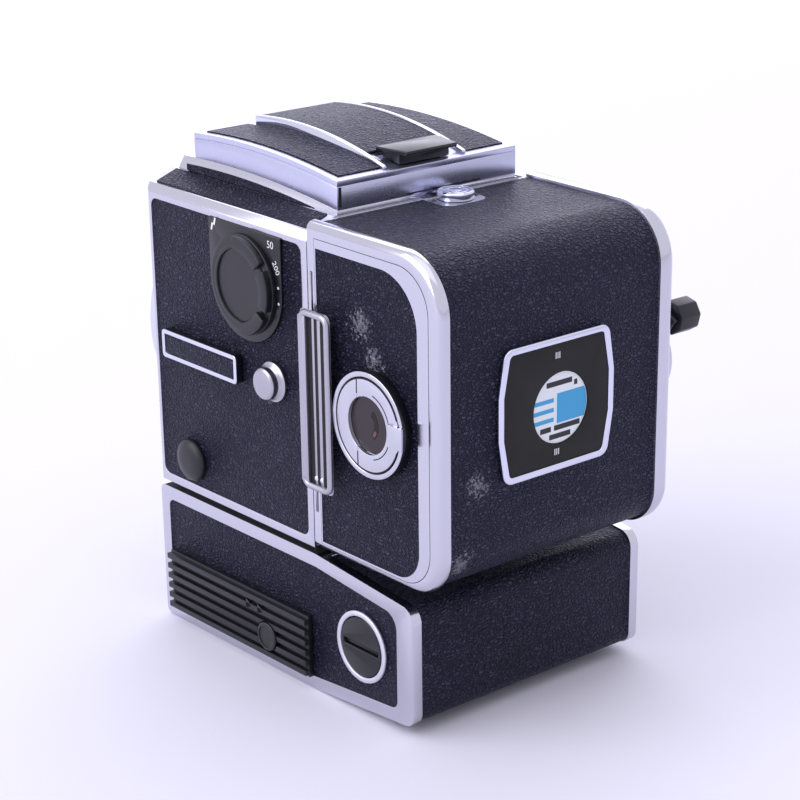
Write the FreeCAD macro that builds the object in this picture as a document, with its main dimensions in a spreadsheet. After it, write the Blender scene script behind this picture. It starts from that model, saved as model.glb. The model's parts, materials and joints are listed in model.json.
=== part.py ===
import FreeCAD, Part
import math
import os
import Sketcher

# Medium format film camera with a folding waist-level finder, a motor base and a roll film magazine.
# X points to the camera's own left side, Y to its rear and Z up, in millimetres.
# The origin is the tripod socket in the middle of the base, on the surface the camera stands on.

document = FreeCAD.newDocument("medium_format_camera")
sheet = document.addObject("Spreadsheet::Sheet", "sizes")
pieces = []
cuts = []


class Size:
    """A length together with the spreadsheet expression that gives it."""

    def __init__(self, value, text):
        self.value = value
        self.text = text

    def __add__(self, other):
        other = as_size(other)
        return Size(self.value + other.value, f"({self.text} + {other.text})")

    def __sub__(self, other):
        other = as_size(other)
        return Size(self.value - other.value, f"({self.text} - {other.text})")

    def __mul__(self, other):
        other = as_size(other)
        return Size(self.value * other.value, f"({self.text} * {other.text})")

    def __truediv__(self, other):
        other = as_size(other)
        return Size(self.value / other.value, f"({self.text} / {other.text})")

    def __radd__(self, other):
        return as_size(other) + self

    def __rsub__(self, other):
        return as_size(other) - self

    def __rmul__(self, other):
        return as_size(other) * self

    def __neg__(self):
        return Size(-self.value, f"(0 - {self.text})")


def as_size(value):
    if isinstance(value, Size):
        return value
    return Size(float(value), f"({value})")


def size(name, value):
    """Put one driving dimension in the sheet and return it."""
    row = size.rows = getattr(size, "rows", 0) + 1
    sheet.set(f"A{row}", name.replace("_", " "))
    sheet.set(f"B{row}", str(value))
    sheet.setAlias(f"B{row}", name)
    return Size(value, f"sizes.{name}")


# Overall sizes
body_width = size("body_width", 88)
body_depth = size("body_depth", 76.5)
body_height = size("body_height", 89.9)
base_height = size("base_height", 43.3)
body_gap = size("body_gap", 2.0)
base_tail = size("base_tail", 43.2)
base_tail_drop = size("base_tail_drop", 4.0)
base_tail_rise = size("base_tail_rise", 3.5)
magazine_depth = size("magazine_depth", 55.4)
magazine_height = size("magazine_height", 95.7)
seam_gap = size("seam_gap", 0.3)
lens_rise = size("lens_rise", 46.7)

# Walls, skins and clearances
body_wall = size("body_wall", 4.0)
front_wall = size("front_wall", 5.0)
base_wall = size("base_wall", 4.0)
leather = size("leather_thickness", 0.8)
recess = size("leather_recess", 1.1)
frame_line = size("frame_line", 2.6)
edge_round = size("edge_round", 2.0)
soft_round = size("soft_round", 1.2)
running_gap = size("running_gap", 0.3)
shaft_gap = size("shaft_gap", 0.05)
rest_gap = size("rest_gap", 0.15)
overrun = size("cut_overrun", 1.0)

half = body_width / 2
front = -(body_depth / 2)
seam = body_depth / 2
floor = base_height + body_gap
lens_height = floor + lens_rise
side_top = floor + body_height
leather_face = half - recess + leather

# Body and mount
shoulder_rise = size("shoulder_rise", 5.4)
shoulder_half = size("shoulder_half", 33.8)
shoulder_margin = size("shoulder_margin", 0.6)
shoulder_skin = size("shoulder_skin", 0.35)
shoulder_end_gap = size("shoulder_end_gap", 2.6)
crease_rise = size("crease_rise", 2.4)
crease_inset = size("crease_inset", 1.8)
wedge_inset = size("wedge_inset", 5.5)
wedge_foot = size("wedge_foot", 1.0)
foot_inset = size("foot_inset", 3.5)
roof_peak = size("roof_peak", 4.8)
roof_peak_place = size("roof_peak_place", -12.0)
roof_radius = size("roof_radius", 350.0)
roof_trim = size("roof_trim", 2.3)
arch_room = size("arch_room", 12.0)
well_rise = size("well_rise", 3.0)
chamber_half = size("chamber_half", 31.0)
chamber_floor_gap = size("chamber_floor_gap", 7.0)
chamber_roof = floor + size("chamber_roof_rise", 87.3)
gate_half = size("gate_half", 28.5)
mount_radius = size("mount_radius", 39.5)
mount_bore = size("mount_bore", 33.0)
mount_length = size("mount_length", 9.25)
mount_edge = size("mount_edge", 1.4)
mount_throat_step = size("mount_throat_step", 1.0)
bayonet_radius = size("bayonet_radius", 30.5)
bayonet_thickness = size("bayonet_thickness", 2.0)
bayonet_back = size("bayonet_back", 0.8)
mount_bore_length = size("mount_bore_length", 5.0)
bayonet_half = size("bayonet_half_width", 8.0)
screen_half = size("screen_half", 29.8)
screen_thickness = size("screen_thickness", 2.5)
screen_seat = floor + size("screen_seat_rise", 90.7)
catch_radius = size("catch_radius", 3.5)
catch_offset = size("catch_offset", 35.0)
catch_height = size("catch_height", 3.2)
catch_stem = size("catch_stem", 1.8)
catch_travel = size("catch_travel", 1.5)

# Mirror and flaps
mirror_length = size("mirror_length", 60.0)
mirror_half = size("mirror_half", 29.0)
mirror_thickness = size("mirror_thickness", 2.2)
mirror_axis_inset = size("mirror_axis_inset", 4.3)
mirror_axis_drop = size("mirror_axis_drop", 3.6)
flap_length = size("flap_length", 31.0)
flap_thickness = size("flap_thickness", 1.2)
flap_axis_inset = size("flap_axis_inset", 1.9)
flap_overlap = size("flap_overlap", 1.2)
pin_radius = size("pin_radius", 0.7)
barrel_wall = size("barrel_wall", 0.6)

# Finder hood
hood_half = size("hood_half", 33.0)
hood_front = size("hood_front", 27.8)
hood_overhang = size("hood_overhang", 0.2)
hood_top = side_top + size("hood_rise", 13.2)
lid_rise = size("lid_rise", 3.4)
hood_wall = size("hood_wall", 1.6)
lid_thickness = size("lid_thickness", 1.6)
lid_border = size("lid_border", 2.6)
panel_half = size("panel_half", 14.0)
panel_peak = size("panel_peak", 5.9)
panel_peak_place = size("panel_peak_place", -4.0)
panel_front = size("panel_front", -21.0)
panel_wall = size("panel_wall", 1.2)
panel_rear_gap = size("panel_rear_gap", 1.0)
rib_width = size("rib_width", 1.3)
shade_axis_drop = size("shade_axis_drop", 3.2)
shade_axis_inset = size("shade_axis_inset", 0.9)
shade_reach = size("shade_reach", 26.0)
shade_thickness = size("shade_thickness", 0.8)
rear_shade_reach = size("rear_shade_reach", 29.5)
rear_shade_lift = size("rear_shade_lift", 1.8)
magnifier_radius = size("magnifier_radius", 11.3)
magnifier_thickness = size("magnifier_thickness", 2.6)
magnifier_arm_length = size("magnifier_arm_length", 13.2)
magnifier_rear_gap = size("magnifier_rear_gap", 0.85)
latch_half = size("latch_half", 11.2)
latch_taper = size("latch_taper", 2.0)
latch_length = size("latch_length", 11.5)
latch_plate = size("latch_plate", 1.2)
latch_lift = size("latch_lift", 3.4)
latch_overhang = size("latch_overhang", 1.6)
latch_block_gap = size("latch_block_gap", 0.6)
latch_block_length = size("latch_block_length", 7.4)
panel_tail_gap = size("panel_tail_gap", 1.5)
rib_lead = size("rib_lead", 0.8)
rib_rise = size("rib_rise", 0.3)
lid_bed = size("lid_bed", 0.4)
lid_leather_rise = size("lid_leather_rise", 0.3)
skin_gap = size("skin_gap", 0.1)
shade_front_gap = size("shade_front_gap", 1.5)
shade_rear_gap = size("shade_rear_gap", 0.8)
corner_gap = size("shade_corner_gap", 0.4)
magnifier_drop = size("magnifier_drop", 0.4)
magnifier_plate = size("magnifier_plate", 1.4)
magnifier_rim_width = size("magnifier_rim_width", 1.0)
magnifier_arm_half = size("magnifier_arm_half", 4.0)
magnifier_axis_drop = size("magnifier_axis_drop", 1.0)

# Fittings on the left side
rail_length = size("rail_length", 36.8)
rail_width = size("rail_width", 8.6)
rail_height = size("rail_height", 2.7)
rail_place = size("rail_place", -11.7)
rail_sink = size("rail_sink", 0.5)
rail_border = size("rail_border", 1.3)
rail_round = size("rail_round", 1.3)
fitting_height = floor + size("fitting_rise", 45.7)
lug_place = size("lug_place", 21.5)
lug_flange_radius = size("lug_flange_radius", 6.0)
lug_flange_thickness = size("lug_flange_thickness", 2.0)
lug_head_radius = size("lug_head_radius", 4.8)
lug_head_length = size("lug_head_length", 3.2)
dial_place = size("dial_place", 10.3)
dial_height = floor + size("dial_rise", 72.0)
dial_plate_half = size("dial_plate_half", 16.7)
dial_plate_thickness = size("dial_plate_thickness", 0.8)
dial_radius = size("dial_radius", 14.6)
dial_thickness = size("dial_thickness", 3.2)
dial_recess_radius = size("dial_recess_radius", 10.4)
dial_recess_depth = size("dial_recess_depth", 1.8)
dial_notch = size("dial_notch", 2.6)
dial_notch_half = size("dial_notch_half", 3.2)
dial_flange = size("dial_flange", 1.2)
dial_notch_count = 6
dial_shaft = size("dial_shaft", 3.0)
dial_shaft_length = size("dial_shaft_length", 3.0)
plug_place = size("plug_place", -20.5)
plug_rise = size("plug_rise", 10.5)
plug_radius = size("plug_radius", 6.5)
plug_thickness = size("plug_thickness", 2.8)
plug_stem = size("plug_stem", 4.5)
plug_stem_length = size("plug_stem_length", 3.5)

# Base
base_border = size("base_border", 4.0)
base_rim = size("base_rim", 3.1)
base_round_low = size("base_round_low", 4.0)
base_round_high = size("base_round_high", 5.0)
base_slack = size("base_slack", 4.4)
base_panel_rear = size("base_panel_rear", 7.2)
base_panel_lift = size("base_panel_lift", 3.6)
base_panel_drop = size("base_panel_drop", 7.6)
base_panel_round = size("base_panel_round", 5.2)
door_front = size("door_front", 3.3)
door_margin = size("door_margin", 1.5)
door_low = size("door_low", 3.8)
door_height = size("door_height", 19.4)
door_thickness = size("door_thickness", 1.3)
door_rib = size("door_rib", 1.5)
door_lip = size("door_lip", 0.8)
door_button_radius = size("door_button_radius", 4.5)
door_button_place = size("door_button_place", 17.6)
door_button_height = size("door_button_height", 11.1)
door_button_travel = size("door_button_travel", 0.8)
door_button_rise = size("door_button_rise", 0.4)
door_floor = size("door_floor", 0.6)
door_rib_count = 6
cell_diameter = size("cell_diameter", 13.9)
cell_length = size("cell_length", 49.5)
cell_nipple = size("cell_nipple", 1.5)
cell_nipple_radius = size("cell_nipple_radius", 2.5)
cell_count = 5
cap_rear_gap = size("cap_rear_gap", 22.45)
cap_height = size("cap_height", 21.2)
cap_radius = size("cap_radius", 8.9)
cap_ring_radius = size("cap_ring_radius", 10.8)
cap_ring_rise = size("cap_ring_rise", 1.0)
cap_slot_width = size("cap_slot_width", 1.8)
cap_slot_depth = size("cap_slot_depth", 1.6)
cap_slot_end = size("cap_slot_end", 1.2)
motor_radius = size("motor_radius", 12.0)
motor_length = size("motor_length", 44.0)
motor_shaft = size("motor_shaft", 1.5)
motor_foot = size("motor_foot_half", 8.0)
motor_start = size("motor_start", -30.0)
motor_foot_inset = size("motor_foot_inset", 4.0)
gear_wall_gap = size("gear_wall_gap", 0.8)
gear_stub = size("gear_stub", 0.6)
gear_spindle = size("gear_spindle", 12.0)
gear_module = size("gear_module", 1.0)
tooth_depth = size("tooth_depth_share", 1.1)
tooth_height = size("tooth_height_share", 0.8)
tooth_foot = size("tooth_foot_share", 0.95)
tooth_tip = size("tooth_tip_share", 0.3)
tooth_sink = size("tooth_sink", 0.4)
root_margin = size("root_margin", 0.05)
gear_face = size("gear_face", 3.5)
gear_shaft = size("gear_shaft", 2.5)
gear_teeth = 30
pinion_teeth = 12
gear_turn = 8.0
board_left = size("board_left", -6.0)
board_right = size("board_right", 38.0)
board_half = size("board_half_length", 30.0)
board_inset = size("board_inset", 4.0)
board_thickness = size("board_thickness", 1.6)
board_post = size("board_post", 1.4)
board_post_radius = size("board_post_radius", 2.0)
chip_left = size("chip_left", 6.0)
chip_size = size("chip_size", 14.0)
chip_height = size("chip_height", 2.8)
selector_radius = size("selector_radius", 9.0)
selector_thickness = size("selector_thickness", 4.2)
selector_bar = size("selector_bar", 1.8)
selector_place = size("selector_place", -10.0)
selector_height = size("selector_height", 21.0)
release_radius = size("release_radius", 5.0)
release_place = size("release_place", -28.0)
release_height = size("release_height", 25.0)
release_rise = size("release_rise", 2.8)
release_stem = size("release_stem", 2.2)
tripod_plate_half = size("tripod_plate_half", 15.0)
tripod_plate_rear = size("tripod_plate_rear", 20.0)
socket_wall = size("socket_wall", 3.0)
socket_boss = size("socket_boss", 3.0)
socket_depth = size("socket_depth", 6.5)
tripod_small = size("tripod_small_radius", 3.175)
tripod_large = size("tripod_large_radius", 4.7625)
tripod_large_place = size("tripod_large_place", 9.5)

# Magazine
magazine_round_top = size("magazine_round_top", 16.5)
magazine_round_bottom = size("magazine_round_bottom", 13.0)
frame_proud = size("frame_proud", 0.8)
frame_width = size("right_frame_width", 6.8)
frame_round = size("right_frame_round", 3.8)
left_frame_width = size("left_frame_width", 3.2)
left_frame_round = size("left_frame_round", 2.4)
rim_search = size("rim_search", 6.0)
plate_rear_inset = size("plate_rear_inset", 5.0)
plate_top_inset = size("plate_top_inset", 4.2)
plate_bottom_inset = size("plate_bottom_inset", 2.2)
plate_front_inset = size("plate_front_inset", 3.0)
panel_rear_margin = size("panel_rear_margin", 4.6)
panel_low_round = size("panel_low_round", 9.1)
panel_high_round = size("panel_high_round", 14.85)
panel_top_margin = size("panel_top_margin", 2.7)
panel_bottom_margin = size("panel_bottom_margin", 0.8)
panel_front_margin = size("panel_front_margin", 0.6)
magazine_wall = size("magazine_wall", 2.4)
front_plate = size("front_plate", 3.6)
slide_thickness = size("slide_thickness", 0.5)
slide_inset = size("slide_inset", 1.5)
slide_half = size("slide_half", 35.0)
slide_tip = size("slide_tip", 30.0)
handle_low = lens_height - size("handle_reach_down", 27.0)
handle_high = lens_height + size("handle_reach_up", 25.4)
handle_width = size("handle_width", 13.2)
handle_wire = size("handle_wire", 1.3)
handle_round = size("handle_round", 2.0)
handle_stand = size("handle_stand", 2.6)
handle_lead = size("handle_lead", 2.2)
handle_lap = size("handle_lap", 2.6)
key_place = size("key_place", 66.5)
key_height = floor + size("key_rise", 45.0)
key_ring_radius = size("key_ring_radius", 15.1)
key_ring_rise = size("key_ring_rise", 3.1)
key_ring_wall = size("key_ring_wall", 1.6)
key_window_radius = size("key_window_radius", 8.2)
key_split = size("key_split", 4.3)
key_tab_half = size("key_tab_half", 3.2)
key_tab_rise = size("key_tab_rise", 0.9)
key_tab_inset = size("key_tab_inset", 1.4)
key_base = size("key_base_thickness", 1.2)
spool_place = size("spool_place", 70.0)
feed_height = floor + size("feed_rise", 19.7)
take_up_height = floor + size("take_up_rise", 72.7)
spool_core = size("spool_core", 6.0)
spool_flange = size("spool_flange", 12.2)
spool_half = size("spool_half", 31.2)
spool_flange_thickness = size("spool_flange_thickness", 1.0)
frame_plate = size("insert_frame_thickness", 2.0)
frame_plate_round = size("insert_frame_round", 1.8)
lock_box_half = size("lock_box_half", 10.0)
memo_half = size("memo_half", 19.4)
memo_bulge = size("memo_bulge", 2.2)
memo_place = size("memo_place", 2.3)
memo_corner = size("memo_corner", 3.4)
memo_window_place = size("memo_window_place", 0.7)
memo_belly = size("memo_belly", 6.0)
memo_sink = size("memo_sink", 0.4)
memo_floor = size("memo_floor", 0.3)
memo_low = floor + size("memo_low_rise", 28.7)
memo_high = floor + size("memo_high_rise", 67.3)
memo_border = size("memo_border", 2.0)
memo_thickness = size("memo_thickness", 1.3)
memo_window = size("memo_window_radius", 10.3)
memo_window_height = floor + size("memo_window_rise", 46.7)
button_place_x = size("button_place_across", -4.4)
button_inset = size("button_inset", 6.15)
button_radius = size("button_radius", 5.5)
button_thickness = size("button_thickness", 2.4)
button_stem = size("button_stem", 1.8)
button_travel = size("button_travel", 5.0)
crank_place = size("crank_place", 75.5)
crank_height = floor + size("crank_rise", 47.7)
crank_radius = size("crank_radius", 14.0)
crank_thickness = size("crank_thickness", 5.4)
crank_shaft = size("crank_shaft", 3.0)
crank_arm_half = size("crank_arm_half", 3.2)
crank_arm_length = size("crank_arm_length", 17.0)
crank_arm_thickness = size("crank_arm_thickness", 2.2)
crank_knob = size("crank_knob_half", 5.2)
crank_knob_length = size("crank_knob_length", 9.6)
crank_knob_overhang = size("crank_knob_overhang", 2.6)
crank_turn = 36.5


def rectangle(low_u, high_u, low_v, high_v, radius=None):
    """Corners of a rectangle, all with the same rounding."""
    corners = [(low_u, low_v), (high_u, low_v), (high_u, high_v), (low_u, high_v)]
    return [corner + (radius,) for corner in corners]


def circle(u, v, radius):
    return (as_size(u), as_size(v), radius)


class Piece:
    """One part design body that becomes one named node."""

    def __init__(self, label):
        self.body = document.addObject("PartDesign::Body", label)
        self.body.Label = label
        self.body.AllowCompound = True
        pieces.append(self.body)

    def sketch(self, axis, offset, outlines):
        plane = {"x": "YZ_Plane", "y": "XZ_Plane", "z": "XY_Plane"}[axis]
        sketch = self.body.newObject("Sketcher::SketchObject", "outline")
        for feature in self.body.Origin.OriginFeatures:
            if feature.Role == plane:
                sketch.AttachmentSupport = (feature, [""])
        sketch.MapMode = "FlatFace"
        offset = as_size(-offset if axis == "y" else offset)
        sketch.AttachmentOffset = FreeCAD.Placement(FreeCAD.Vector(0, 0, offset.value), FreeCAD.Rotation())
        sketch.setExpression("AttachmentOffset.Base.z", offset.text)
        for outline in outlines:
            if isinstance(outline, tuple):
                draw_circle(sketch, *outline)
            else:
                draw_outline(sketch, outline)
        return sketch

    def pad(self, axis, span, *outlines):
        low, high = as_size(span[0]), as_size(span[1])
        start = high if axis == "y" else low
        feature = self.body.newObject("PartDesign::Pad", "pad")
        feature.Profile = self.sketch(axis, start, outlines)
        feature.setExpression("Length", (high - low).text)
        self.body.Tip = feature
        return feature

    def pocket(self, axis, span, *outlines):
        low, high = as_size(span[0]), as_size(span[1])
        start = low if axis == "y" else high
        feature = self.body.newObject("PartDesign::Pocket", "pocket")
        feature.Profile = self.sketch(axis, start, outlines)
        feature.setExpression("Length", (high - low).text)
        self.body.Tip = feature
        cuts.append(feature)
        return feature

    def revolve(self, axis, outline):
        """Turn an outline drawn on the plane of X and Y about the body's own Y axis or X axis."""
        feature = self.body.newObject("PartDesign::Revolution", "turned")
        feature.Profile = self.sketch("z", 0, [outline])
        feature.ReferenceAxis = (self.origin(axis + "_Axis"), [""])
        feature.Angle = 360
        self.body.Tip = feature
        return feature

    def repeat(self, feature, axis, count):
        pattern = self.body.newObject("PartDesign::PolarPattern", "repeat")
        pattern.Originals = [feature]
        pattern.Axis = (self.origin(axis + "_Axis"), [""])
        pattern.Angle = 360
        pattern.Occurrences = count
        self.body.Tip = pattern
        return pattern

    def origin(self, role):
        for feature in self.body.Origin.OriginFeatures:
            if feature.Role == role:
                return feature

    def fillet(self, radius, chosen):
        """Round the edges that the given test picks."""
        document.recompute()
        tip = self.body.Tip
        names = [f"Edge{i}" for i, edge in enumerate(tip.Shape.Edges, 1) if chosen(edge)]
        feature = self.body.newObject("PartDesign::Fillet", "round")
        feature.Base = (tip, names)
        feature.setExpression("Radius", as_size(radius).text)
        self.body.Tip = feature
        return feature

    def place(self, x, y, z, axis=None, angle=0):
        turn = FreeCAD.Rotation(axis, angle) if axis else FreeCAD.Rotation()
        x, y, z = as_size(x), as_size(y), as_size(z)
        self.body.Placement = FreeCAD.Placement(FreeCAD.Vector(x.value, y.value, z.value), turn)
        for name, value in (("x", x), ("y", y), ("z", z)):
            self.body.setExpression(f"Placement.Base.{name}", value.text)


def hold(sketch, geometry, point, u, v):
    """Fix one point of a sketch at two bound distances from its origin."""
    for kind, value in (("DistanceX", as_size(u)), ("DistanceY", as_size(v))):
        number = sketch.addConstraint(Sketcher.Constraint(kind, -1, 1, geometry, point, value.value))
        sketch.setExpression(f"Constraints[{number}]", value.text)


def draw_circle(sketch, u, v, radius):
    centre = FreeCAD.Vector(u.value, v.value, 0)
    ring = sketch.addGeometry(Part.Circle(centre, FreeCAD.Vector(0, 0, 1), radius.value))
    hold(sketch, ring, 3, u, v)
    number = sketch.addConstraint(Sketcher.Constraint("Radius", ring, radius.value))
    sketch.setExpression(f"Constraints[{number}]", radius.text)


def draw_outline(sketch, corners):
    """Draw a closed outline of straight edges whose corners may each have a tangent arc."""
    corners = [tuple(corner) + (None,) * (3 - len(corner)) for corner in corners]
    count = len(corners)
    points = [FreeCAD.Vector(as_size(u).value, as_size(v).value, 0) for u, v, radius in corners]
    starts, ends, arcs = [], [], []
    for i, (u, v, radius) in enumerate(corners):
        here = points[i]
        back = (points[i - 1] - here).normalize()
        ahead = (points[(i + 1) % count] - here).normalize()
        if radius is None:
            starts.append(here)
            ends.append(here)
            arcs.append(None)
            continue
        half_turn = back.getAngle(ahead) / 2
        reach = radius.value / math.tan(half_turn)
        starts.append(here + ahead * reach)
        ends.append(here + back * reach)
        centre = here + (back + ahead).normalize() * (radius.value / math.sin(half_turn))
        arcs.append((centre, back.cross(ahead).z < 0))
    lines = []
    for i in range(count):
        lines.append(sketch.addGeometry(Part.LineSegment(starts[i], ends[(i + 1) % count])))
    for i, (u, v, radius) in enumerate(corners):
        before, after = lines[i - 1], lines[i]
        if radius is None:
            sketch.addConstraint(Sketcher.Constraint("Coincident", before, 2, after, 1))
            hold(sketch, after, 1, u, v)
            continue
        centre, outward = arcs[i]
        first, last = (ends[i], starts[i]) if outward else (starts[i], ends[i])
        round_line = Part.Circle(centre, FreeCAD.Vector(0, 0, 1), radius.value)
        span = [math.atan2(p.y - centre.y, p.x - centre.x) for p in (first, last)]
        arc = sketch.addGeometry(Part.ArcOfCircle(round_line, span[0], span[1]))
        at_before, at_after = (1, 2) if outward else (2, 1)
        sketch.addConstraint(Sketcher.Constraint("Tangent", before, 2, arc, at_before))
        sketch.addConstraint(Sketcher.Constraint("Tangent", arc, at_after, after, 1))
        number = sketch.addConstraint(Sketcher.Constraint("Radius", arc, radius.value))
        sketch.setExpression(f"Constraints[{number}]", radius.text)
        corner = sketch.addGeometry(Part.Point(points[i]), True)
        hold(sketch, corner, 1, u, v)
        sketch.addConstraint(Sketcher.Constraint("PointOnObject", corner, 1, before))
        sketch.addConstraint(Sketcher.Constraint("PointOnObject", corner, 1, after))


def along(edge, axis):
    """True for a straight edge that runs along the given axis."""
    if edge.Curve.TypeId != "Part::GeomLine":
        return False
    return abs(getattr(edge.Curve.Direction, axis)) > 0.999


def near(value, target, slack=0.02):
    return abs(value - as_size(target).value) < slack


# Body shell: one casting with the mirror chamber, the film gate and the wedge that the hood sits on
roof_low = side_top + shoulder_rise
crease_top = side_top + crease_rise
body_section = [
    (-half, floor), (half, floor), (half, side_top), (half - crease_inset, crease_top),
    (shoulder_half, roof_low), (-shoulder_half, roof_low),
    (crease_inset - half, crease_top), (-half, side_top),
]
roof_top = roof_low + roof_peak
roof_centre = roof_top - roof_radius
roof_under = circle(roof_peak_place, roof_centre, roof_radius)
roof_above = circle(roof_peak_place, roof_centre, roof_radius + arch_room)
roof_wedge = [
    (front + wedge_foot, roof_low - overrun), (seam, roof_low - overrun), (seam, roof_top),
    (front + wedge_inset, roof_top),
]
hood_rear = seam + hood_overhang
hood_inner = hood_half - hood_wall
inner_front = hood_wall - hood_front
inner_rear = hood_rear - hood_wall
chamber_front = front + front_wall
chamber_rear = seam - body_wall
chamber_floor = floor + chamber_floor_gap
body_shell = Piece("body_shell")
body_shell.pad("y", (front, seam), body_section)
body_shell.pad("x", (-hood_half, hood_half), roof_wedge)
body_shell.pad("z", (base_height, floor),
               rectangle(foot_inset - half, half - foot_inset, front + foot_inset, seam - foot_inset))
body_shell.fillet(edge_round, lambda e: along(e, "z") and near(e.CenterOfMass.y, front)
                  and near(abs(e.CenterOfMass.x), half))
body_shell.pocket("x", (-chamber_half, chamber_half),
                  rectangle(chamber_front, chamber_rear, chamber_floor, chamber_roof))
body_shell.pocket("x", (-hood_half, hood_half), roof_above, roof_under)
screen_pocket = screen_half + rest_gap
screen_front = inner_front + rest_gap * 2
light_front = screen_front + screen_half - gate_half
well = rectangle(-hood_inner, hood_inner, inner_front, inner_rear)
body_shell.pocket("z", (roof_low + well_rise, roof_top), well)
body_shell.pocket("z", (chamber_roof, roof_top), rectangle(-gate_half, gate_half, light_front, gate_half))
body_shell.pocket("z", (screen_seat, roof_top),
                  rectangle(-screen_pocket, screen_pocket, screen_front - rest_gap, screen_pocket))
body_shell.pocket("y", (front, chamber_front), circle(0, lens_height, mount_bore + mount_throat_step))
body_shell.pocket("y", (chamber_rear, seam),
                  rectangle(-gate_half, gate_half, lens_height - gate_half, lens_height + gate_half))
plug_height = floor + plug_rise
panel_front_edge = front + frame_line
panel_rear_edge = seam - frame_line
panel_low = floor + frame_line
panel_high = side_top - frame_line * 0.6
side_panel = rectangle(panel_front_edge, panel_rear_edge, panel_low, panel_high, frame_line)
front_panel = rectangle(frame_line - half, half - frame_line, panel_low, panel_high, frame_line)
body_shell.pocket("x", (half - recess, half), side_panel)
body_shell.pocket("x", (-half, recess - half), side_panel)
body_shell.pocket("y", (front, front + recess), front_panel)
shoulder_run = half - crease_inset - shoulder_half
shoulder_pitch = shoulder_rise - crease_rise
catch_height_up = lens_height - catch_offset
catch_depth = catch_stem + catch_travel + running_gap * 2
body_shell.pocket("y", (front, front + catch_depth),
                  circle(catch_offset, catch_height_up, catch_radius + running_gap))
body_shell.pocket("x", (half - dial_shaft_length - overrun, half),
                  circle(dial_place, dial_height, dial_shaft + shaft_gap))
body_shell.pocket("x", (half - recess - plug_stem_length - running_gap, half),
                  circle(plug_place, plug_height, plug_stem + running_gap))

# Leather panels of the body
left_leather = Piece("left_leather")
left_leather.pad("x", (half - recess, leather_face), side_panel,
                 circle(dial_place, dial_height, dial_shaft + running_gap),
                 circle(plug_place, plug_height, plug_stem + running_gap))
right_leather = Piece("right_leather")
right_leather.pad("x", (-leather_face, recess - half), side_panel)
front_leather = Piece("front_leather")
front_leather.pad("y", (front + recess - leather, front + recess), front_panel,
                  circle(0, lens_height, mount_radius + running_gap),
                  circle(catch_offset, catch_height_up, catch_radius + running_gap))


def shoulder(sign):
    """Outline of the dark strip that lies on one sloping shoulder."""
    margin = shoulder_margin * shoulder_pitch / shoulder_run
    low_x, low_z = (half - crease_inset - shoulder_margin) * sign, crease_top + margin
    high_x, high_z = (shoulder_half + shoulder_margin) * sign, roof_low - margin
    return [(low_x, low_z), (low_x, low_z + shoulder_skin),
            (high_x, high_z + shoulder_skin), (high_x, high_z)]


shoulder_leathers = Piece("shoulder_leathers")
shoulder_leathers.pad("y", (front + shoulder_end_gap, seam - shoulder_end_gap), shoulder(1), shoulder(-1))
roof_trim_line = circle(roof_peak_place, roof_centre, roof_radius - roof_trim)
strip_front = front + wedge_inset + overrun
for strip in ((hood_half, hood_half + shoulder_skin), (-hood_half - shoulder_skin, -hood_half)):
    shoulder_leathers.pad("x", strip, rectangle(strip_front, seam, roof_low + rest_gap, roof_top))
    shoulder_leathers.pocket("x", strip, roof_above, roof_trim_line)

# Lens mount: chromed flange with three bayonet claws
mount_ring = Piece("mount_ring")
mount_depth = mount_length + recess
mount_groove = mount_bore + mount_throat_step
groove_end = mount_bore_length + mount_edge - mount_depth
mount_profile = [
    (mount_groove, 0), (mount_radius, 0), (mount_radius, mount_edge - mount_depth),
    (mount_radius - mount_edge, -mount_depth), (mount_bore + mount_edge, -mount_depth),
    (mount_bore, mount_edge - mount_depth), (mount_bore, groove_end), (mount_groove, groove_end),
]
mount_ring.revolve("Y", mount_profile)
claw = mount_ring.pad("y", (-bayonet_thickness - bayonet_back, -bayonet_back),
                      rectangle(bayonet_radius, mount_groove + overrun, -bayonet_half, bayonet_half))
mount_ring.repeat(claw, "Y", 3)
mount_ring.place(0, front + recess, lens_height)

# Button that frees the lens
lens_catch_button = Piece("lens_catch_button")
lens_catch_button.pad("y", (front - catch_height, front + catch_stem),
                      circle(catch_offset, catch_height_up, catch_radius))

# Mirror on its hinge at the top rear of the chamber, resting at 45 degrees
mirror_y = chamber_rear - mirror_axis_inset
mirror_z = chamber_roof - mirror_axis_drop
slope = math.sqrt(0.5)
barrel_radius = pin_radius + shaft_gap + barrel_wall
plate_start = pin_radius + shaft_gap
mirror = Piece("mirror")
mirror_outline = []
for reach, side in ((plate_start, 1), (plate_start, -1), (mirror_length, -1), (mirror_length, 1)):
    offset = mirror_thickness / 2 * side
    mirror_outline.append((mirror_y - reach * slope - offset * slope,
                           mirror_z - reach * slope + offset * slope))
mirror.pad("x", (-mirror_half, mirror_half), mirror_outline)
mirror.pad("x", (-mirror_half, mirror_half), circle(mirror_y, mirror_z, barrel_radius))
mirror.pocket("x", (-mirror_half, mirror_half), circle(mirror_y, mirror_z, pin_radius + shaft_gap))

# Two flaps that close the film gate behind the mirror
flap_y = chamber_rear - flap_axis_inset
upper_flap_z = lens_height + flap_length
lower_flap_z = lens_height - flap_length


def flap(label, axis_z, end_z):
    piece = Piece(label)
    low, high = (end_z, axis_z) if end_z.value < axis_z.value else (axis_z, end_z)
    across = (-gate_half - flap_overlap, gate_half + flap_overlap)
    piece.pad("x", across, rectangle(flap_y - flap_thickness / 2, flap_y + flap_thickness / 2, low, high))
    piece.pad("x", across, circle(flap_y, axis_z, barrel_radius))
    piece.pocket("x", across, circle(flap_y, axis_z, pin_radius + shaft_gap))


flap("upper_flap", upper_flap_z, lens_height + rest_gap)
flap("lower_flap", lower_flap_z, lens_height - rest_gap)

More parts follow.
